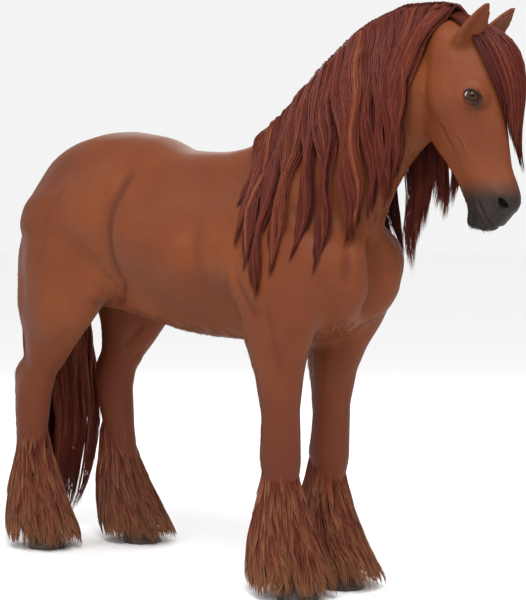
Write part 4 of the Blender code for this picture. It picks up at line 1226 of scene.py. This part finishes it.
def make_feather(hair, foot):
    """Tiers of wisps, each of which starts on the leg and ends in a point; the lowest reach the floor."""
    end, side = foot.split("_")
    column = Column("feather_" + foot, {"fore": "foreleg_", "hind": "hindleg_"}[end] + side)
    height = column.high - column.low
    for tier in range(FEATHER_TIERS):
        share = min(tier / (FEATHER_TIERS - 2), 1)
        under = tier == FEATHER_TIERS - 1
        start = column.high + 0.030 - share * height * 0.62
        many = int(20 + 18 * share)
        for n in range(many):
            angle = 2 * math.pi * (n + 0.5 * (tier % 2) + 0.6 * rng.random()) / many
            long = 0.13 + 0.09 * share + 0.05 * rng.random()
            top = start + (0.030 if tier else 0.075) * (rng.random() - 0.5)
            end = max(top - long, 0.006 + 0.014 * rng.random())
            inset = 0.006 - 0.004 * share + 0.004 * rng.random() + 0.016 * under
            path, out = column_path(column, top, end, angle, 0.18 * rng.normal(), inset, 12)
            lift = np.linspace(0, 1, len(path))[:, None] ** 3
            path = path + out * (0.002 + 0.008 * rng.random()) * lift
            path[:, 2] = np.maximum(path[:, 2], 0.004)
            # The tier that lies under the others is darker: painted shade
            tone = 0.50 + 0.13 * rng.normal() - 0.25 * under
            wide = 0.0085 + 0.0055 * share + 0.003 * rng.random()
            root = 0.4 if tier > 1 else 0.12
            point = 3.0 + 2 * share
            wisp(hair, path, out, wide, 0.005, 11, COARSE_STRAND, tone, point=point, root=root, ragged=0.22)


# ---------------------------------------------------------------- short coat

# Elbows and stifles, where the coat grows longer
ELBOWS = [
    np.array((x, side * y, z)) for side in (-1, 1) for x, y, z in ((0.20, 0.24, 0.90), (-0.36, 0.26, 0.94))
]


def lie_of_coat(places, normals):
    """Which way the short hair lies: back along the barrel, down the legs, neck and face."""
    own = head.own(places)
    on_head = (on_the_head(own) * smooth(-0.02, 0.03, own[:, 0]))[:, None]
    barrel = markings(places)["barrel"][:, None]
    lie = barrel * np.array((-0.9, 0, -0.4)) + (1 - barrel) * np.array((-0.12, 0, -1.0))
    lie = lie * (1 - on_head) + on_head * (head.down * 0.9 - head.front * 0.25)
    return square_to(normals, lie)


def tufted(places, normals):
    """How thickly tufts stand: where the coat breaks the form."""
    own = head.own(places)
    x, z = places[:, 0], places[:, 2]
    down, behind_face = own[:, 0], -own[:, 1]
    facing_x, facing_down, facing_jaw = normals[:, 0], -normals[:, 2], -(normals @ head.front)
    on_head = on_the_head(own) * smooth(-0.02, 0.03, down)
    backs_of_legs = smooth(0.4, 0.9, -facing_x) * smooth(0.30, 0.40, z) * (1 - smooth(0.85, 1.1, z))
    belly = smooth(0.65, 0.95, facing_down) * smooth(0.70, 0.85, z) * (1 - on_head)
    throat = smooth(0.6, 0.95, facing_x) * smooth(1.1, 1.2, z) * smooth(0.5, 0.6, x) * (1 - on_head)
    jaw = on_head * smooth(0.14, 0.20, behind_face) * smooth(0.35, 0.8, facing_jaw) * smooth(0.08, 0.16, down)
    chin = on_head * smooth(0.50, 0.56, down) * smooth(0.05, 0.09, behind_face)
    elbows = sum(1 - smooth(0.03, 0.09, np.linalg.norm(places - spot, axis=1)) for spot in ELBOWS)
    thick = np.maximum.reduce([backs_of_legs, 0.8 * belly, 0.5 * throat, 0.7 * jaw, 0.6 * chin, 0.7 * elbows])
    return np.clip(thick, 0, 1)


def share_of_skin(mesh):
    """How much skin belongs to each of its places."""
    count = len(mesh.polygons)
    area, total = np.empty(count), np.empty(count, np.int32)
    mesh.polygons.foreach_get("area", area)
    mesh.polygons.foreach_get("loop_total", total)
    corners = np.empty(len(mesh.loops), np.int32)
    mesh.loops.foreach_get("vertex_index", corners)
    return np.bincount(corners, np.repeat(area / total, total), minlength=len(mesh.vertices))


def make_coat(hair, mesh, count):
    """Small flat tufts over the skin."""
    places, normals = places_of(mesh), normals_of(mesh)
    weight = tufted(places, normals) * share_of_skin(mesh)
    chosen = rng.choice(len(places), count, p=weight / weight.sum())
    root, out = places[chosen], normals[chosen]
    lie = lie_of_coat(root, out)
    across = np.cross(out, lie)
    on_head = smooth(-0.25, -0.21, head.own(root)[:, 1])
    long = (0.020 + 0.014 * rng.random(count)) * (1 - 0.5 * on_head)
    shares = np.linspace(0, 1, hair.steps)[None, :, None]
    for _ in range(TUFT_STRANDS):
        beside = rng.normal(size=count)
        aim = lie - across * (0.05 * beside - 0.08 * rng.normal(size=count))[:, None]
        step = aim[:, None] * (long * (0.7 + 0.4 * rng.random(count)))[:, None, None] * shares
        lift = out[:, None] * (0.0006 * shares + 0.0022 * shares**3)
        start = root + across * (0.0022 * beside)[:, None] + lie * (0.003 * rng.normal(size=count))[:, None]
        widths = 0.0009 * (1 - 0.7 * shares[:, :, 0] ** 2) * np.ones((count, 1))
        # Each tuft's random tone makes it paler in the coat's material: painted light against the shade
        # between the strands
        hair.add(start[:, None] + step + lift, widths, 0.3 + 0.5 * rng.random(count), out)


def make_lashes(hair, eye):
    """Lashes that stand out from the upper lid and droop a little."""
    for share in np.linspace(-0.86, 0.80, LASHES):
        along = share * SLIT_HALF
        up = SLIT_ABOVE * (1 - share**2) ** 0.6 - 0.0008
        out = math.sqrt((EYE_RADIUS + LID) ** 2 - along**2 - up**2)
        t = np.linspace(0, 1, hair.steps)[:, None]
        long = 0.011 + 0.004 * rng.random()
        turn = np.array((0.35 * share + 0.10 * rng.normal(), 0.55 + 0.12 * rng.normal(), 0.8))
        own = np.array((along, up, out - 0.001)) + turn * t * long * 0.8 - np.array((0, 0.005, 0)) * t**2
        path = eye.middle + own @ np.stack([eye.along, eye.up, eye.out])
        hair.add(path[None], (0.00055 * (1 - 0.7 * t[:, 0]))[None], np.array([0.0]))


# ---------------------------------------------------------------- hooves


def make_hoof(foot, look):
    """A rounded wall of horn in place of the faceted one."""
    obj = remeshed(joined_nodes("horn_" + foot, ["hoof_" + foot]), 0.005)
    places = places_of(obj.data)
    evened(obj, 8, 0.25 * smooth(0.004, 0.012, places[:, 2]))
    obj.data.shade_smooth()
    obj.data.materials.clear()
    obj.data.materials.append(look)
    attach(obj, "root")
    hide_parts("hoof_" + foot)


# ---------------------------------------------------------------- assembly

make_camera()
make_stage()
mottling = mottle_group()
strand_colour = strand_group()
coat_look = coat_material("short_coat", mottling)
skin = make_skin(coat_look)
eye_look = eye_material()
for eye in eyes:
    make_eye(eye, eye_look)

mane_look = hair_material("long_hair", strand_colour, roots=0.0, tips=0.0)
hair = Hair(steps=14)
make_mane(hair, -1, MANE_RIGHT, layers=(7, 4), strands=24)
for n in range(2):
    hair.piece(f"mane_right_{n + 1}", mane_look, ["mane_right"], part=slice(n, None, 2))
hair = Hair(steps=14)
make_mane(hair, 1, MANE_LEFT, layers=(6, 3), strands=20)
hair.piece("mane_left_1", mane_look, ["mane_left"])
hair = Hair(steps=12)
make_forelock(hair)
hair.piece("forelock_hair", mane_look, ["forelock"])

tail_look = hair_material("tail_hair", strand_colour, roots=0.0, tips=0.0, painted_light=TAIL_PAINTED_LIGHT)
hair = Hair(steps=16)
make_tail(hair)
hair.piece("tail_hair", tail_look, ["tail"])

feather_look = hair_material("feather_hair", strand_colour, roots=1.0, tips=0.9)
for foot in FEET:
    hair = Hair(steps=8)
    make_feather(hair, foot)
    hair.piece("feather_hair_" + foot, feather_look, ["feather_" + foot])

lash_look = hair_material("lash_hair", strand_colour, roots=0.0, tips=0.0)
hair = Hair(steps=5)
for eye in eyes:
    make_lashes(hair, eye)
hair.piece("eyelashes", lash_look, FLESH, None)

hair = Hair(steps=4)
make_coat(hair, skin.data, COAT_TUFTS)
for n in range(2):
    hair.piece(f"coat_tufts_{n + 1}", coat_look, FLESH, "coat", slice(n, None, 2), markings)

horn = horn_material(mottling)
for foot in FEET:
    make_hoof(foot, horn)
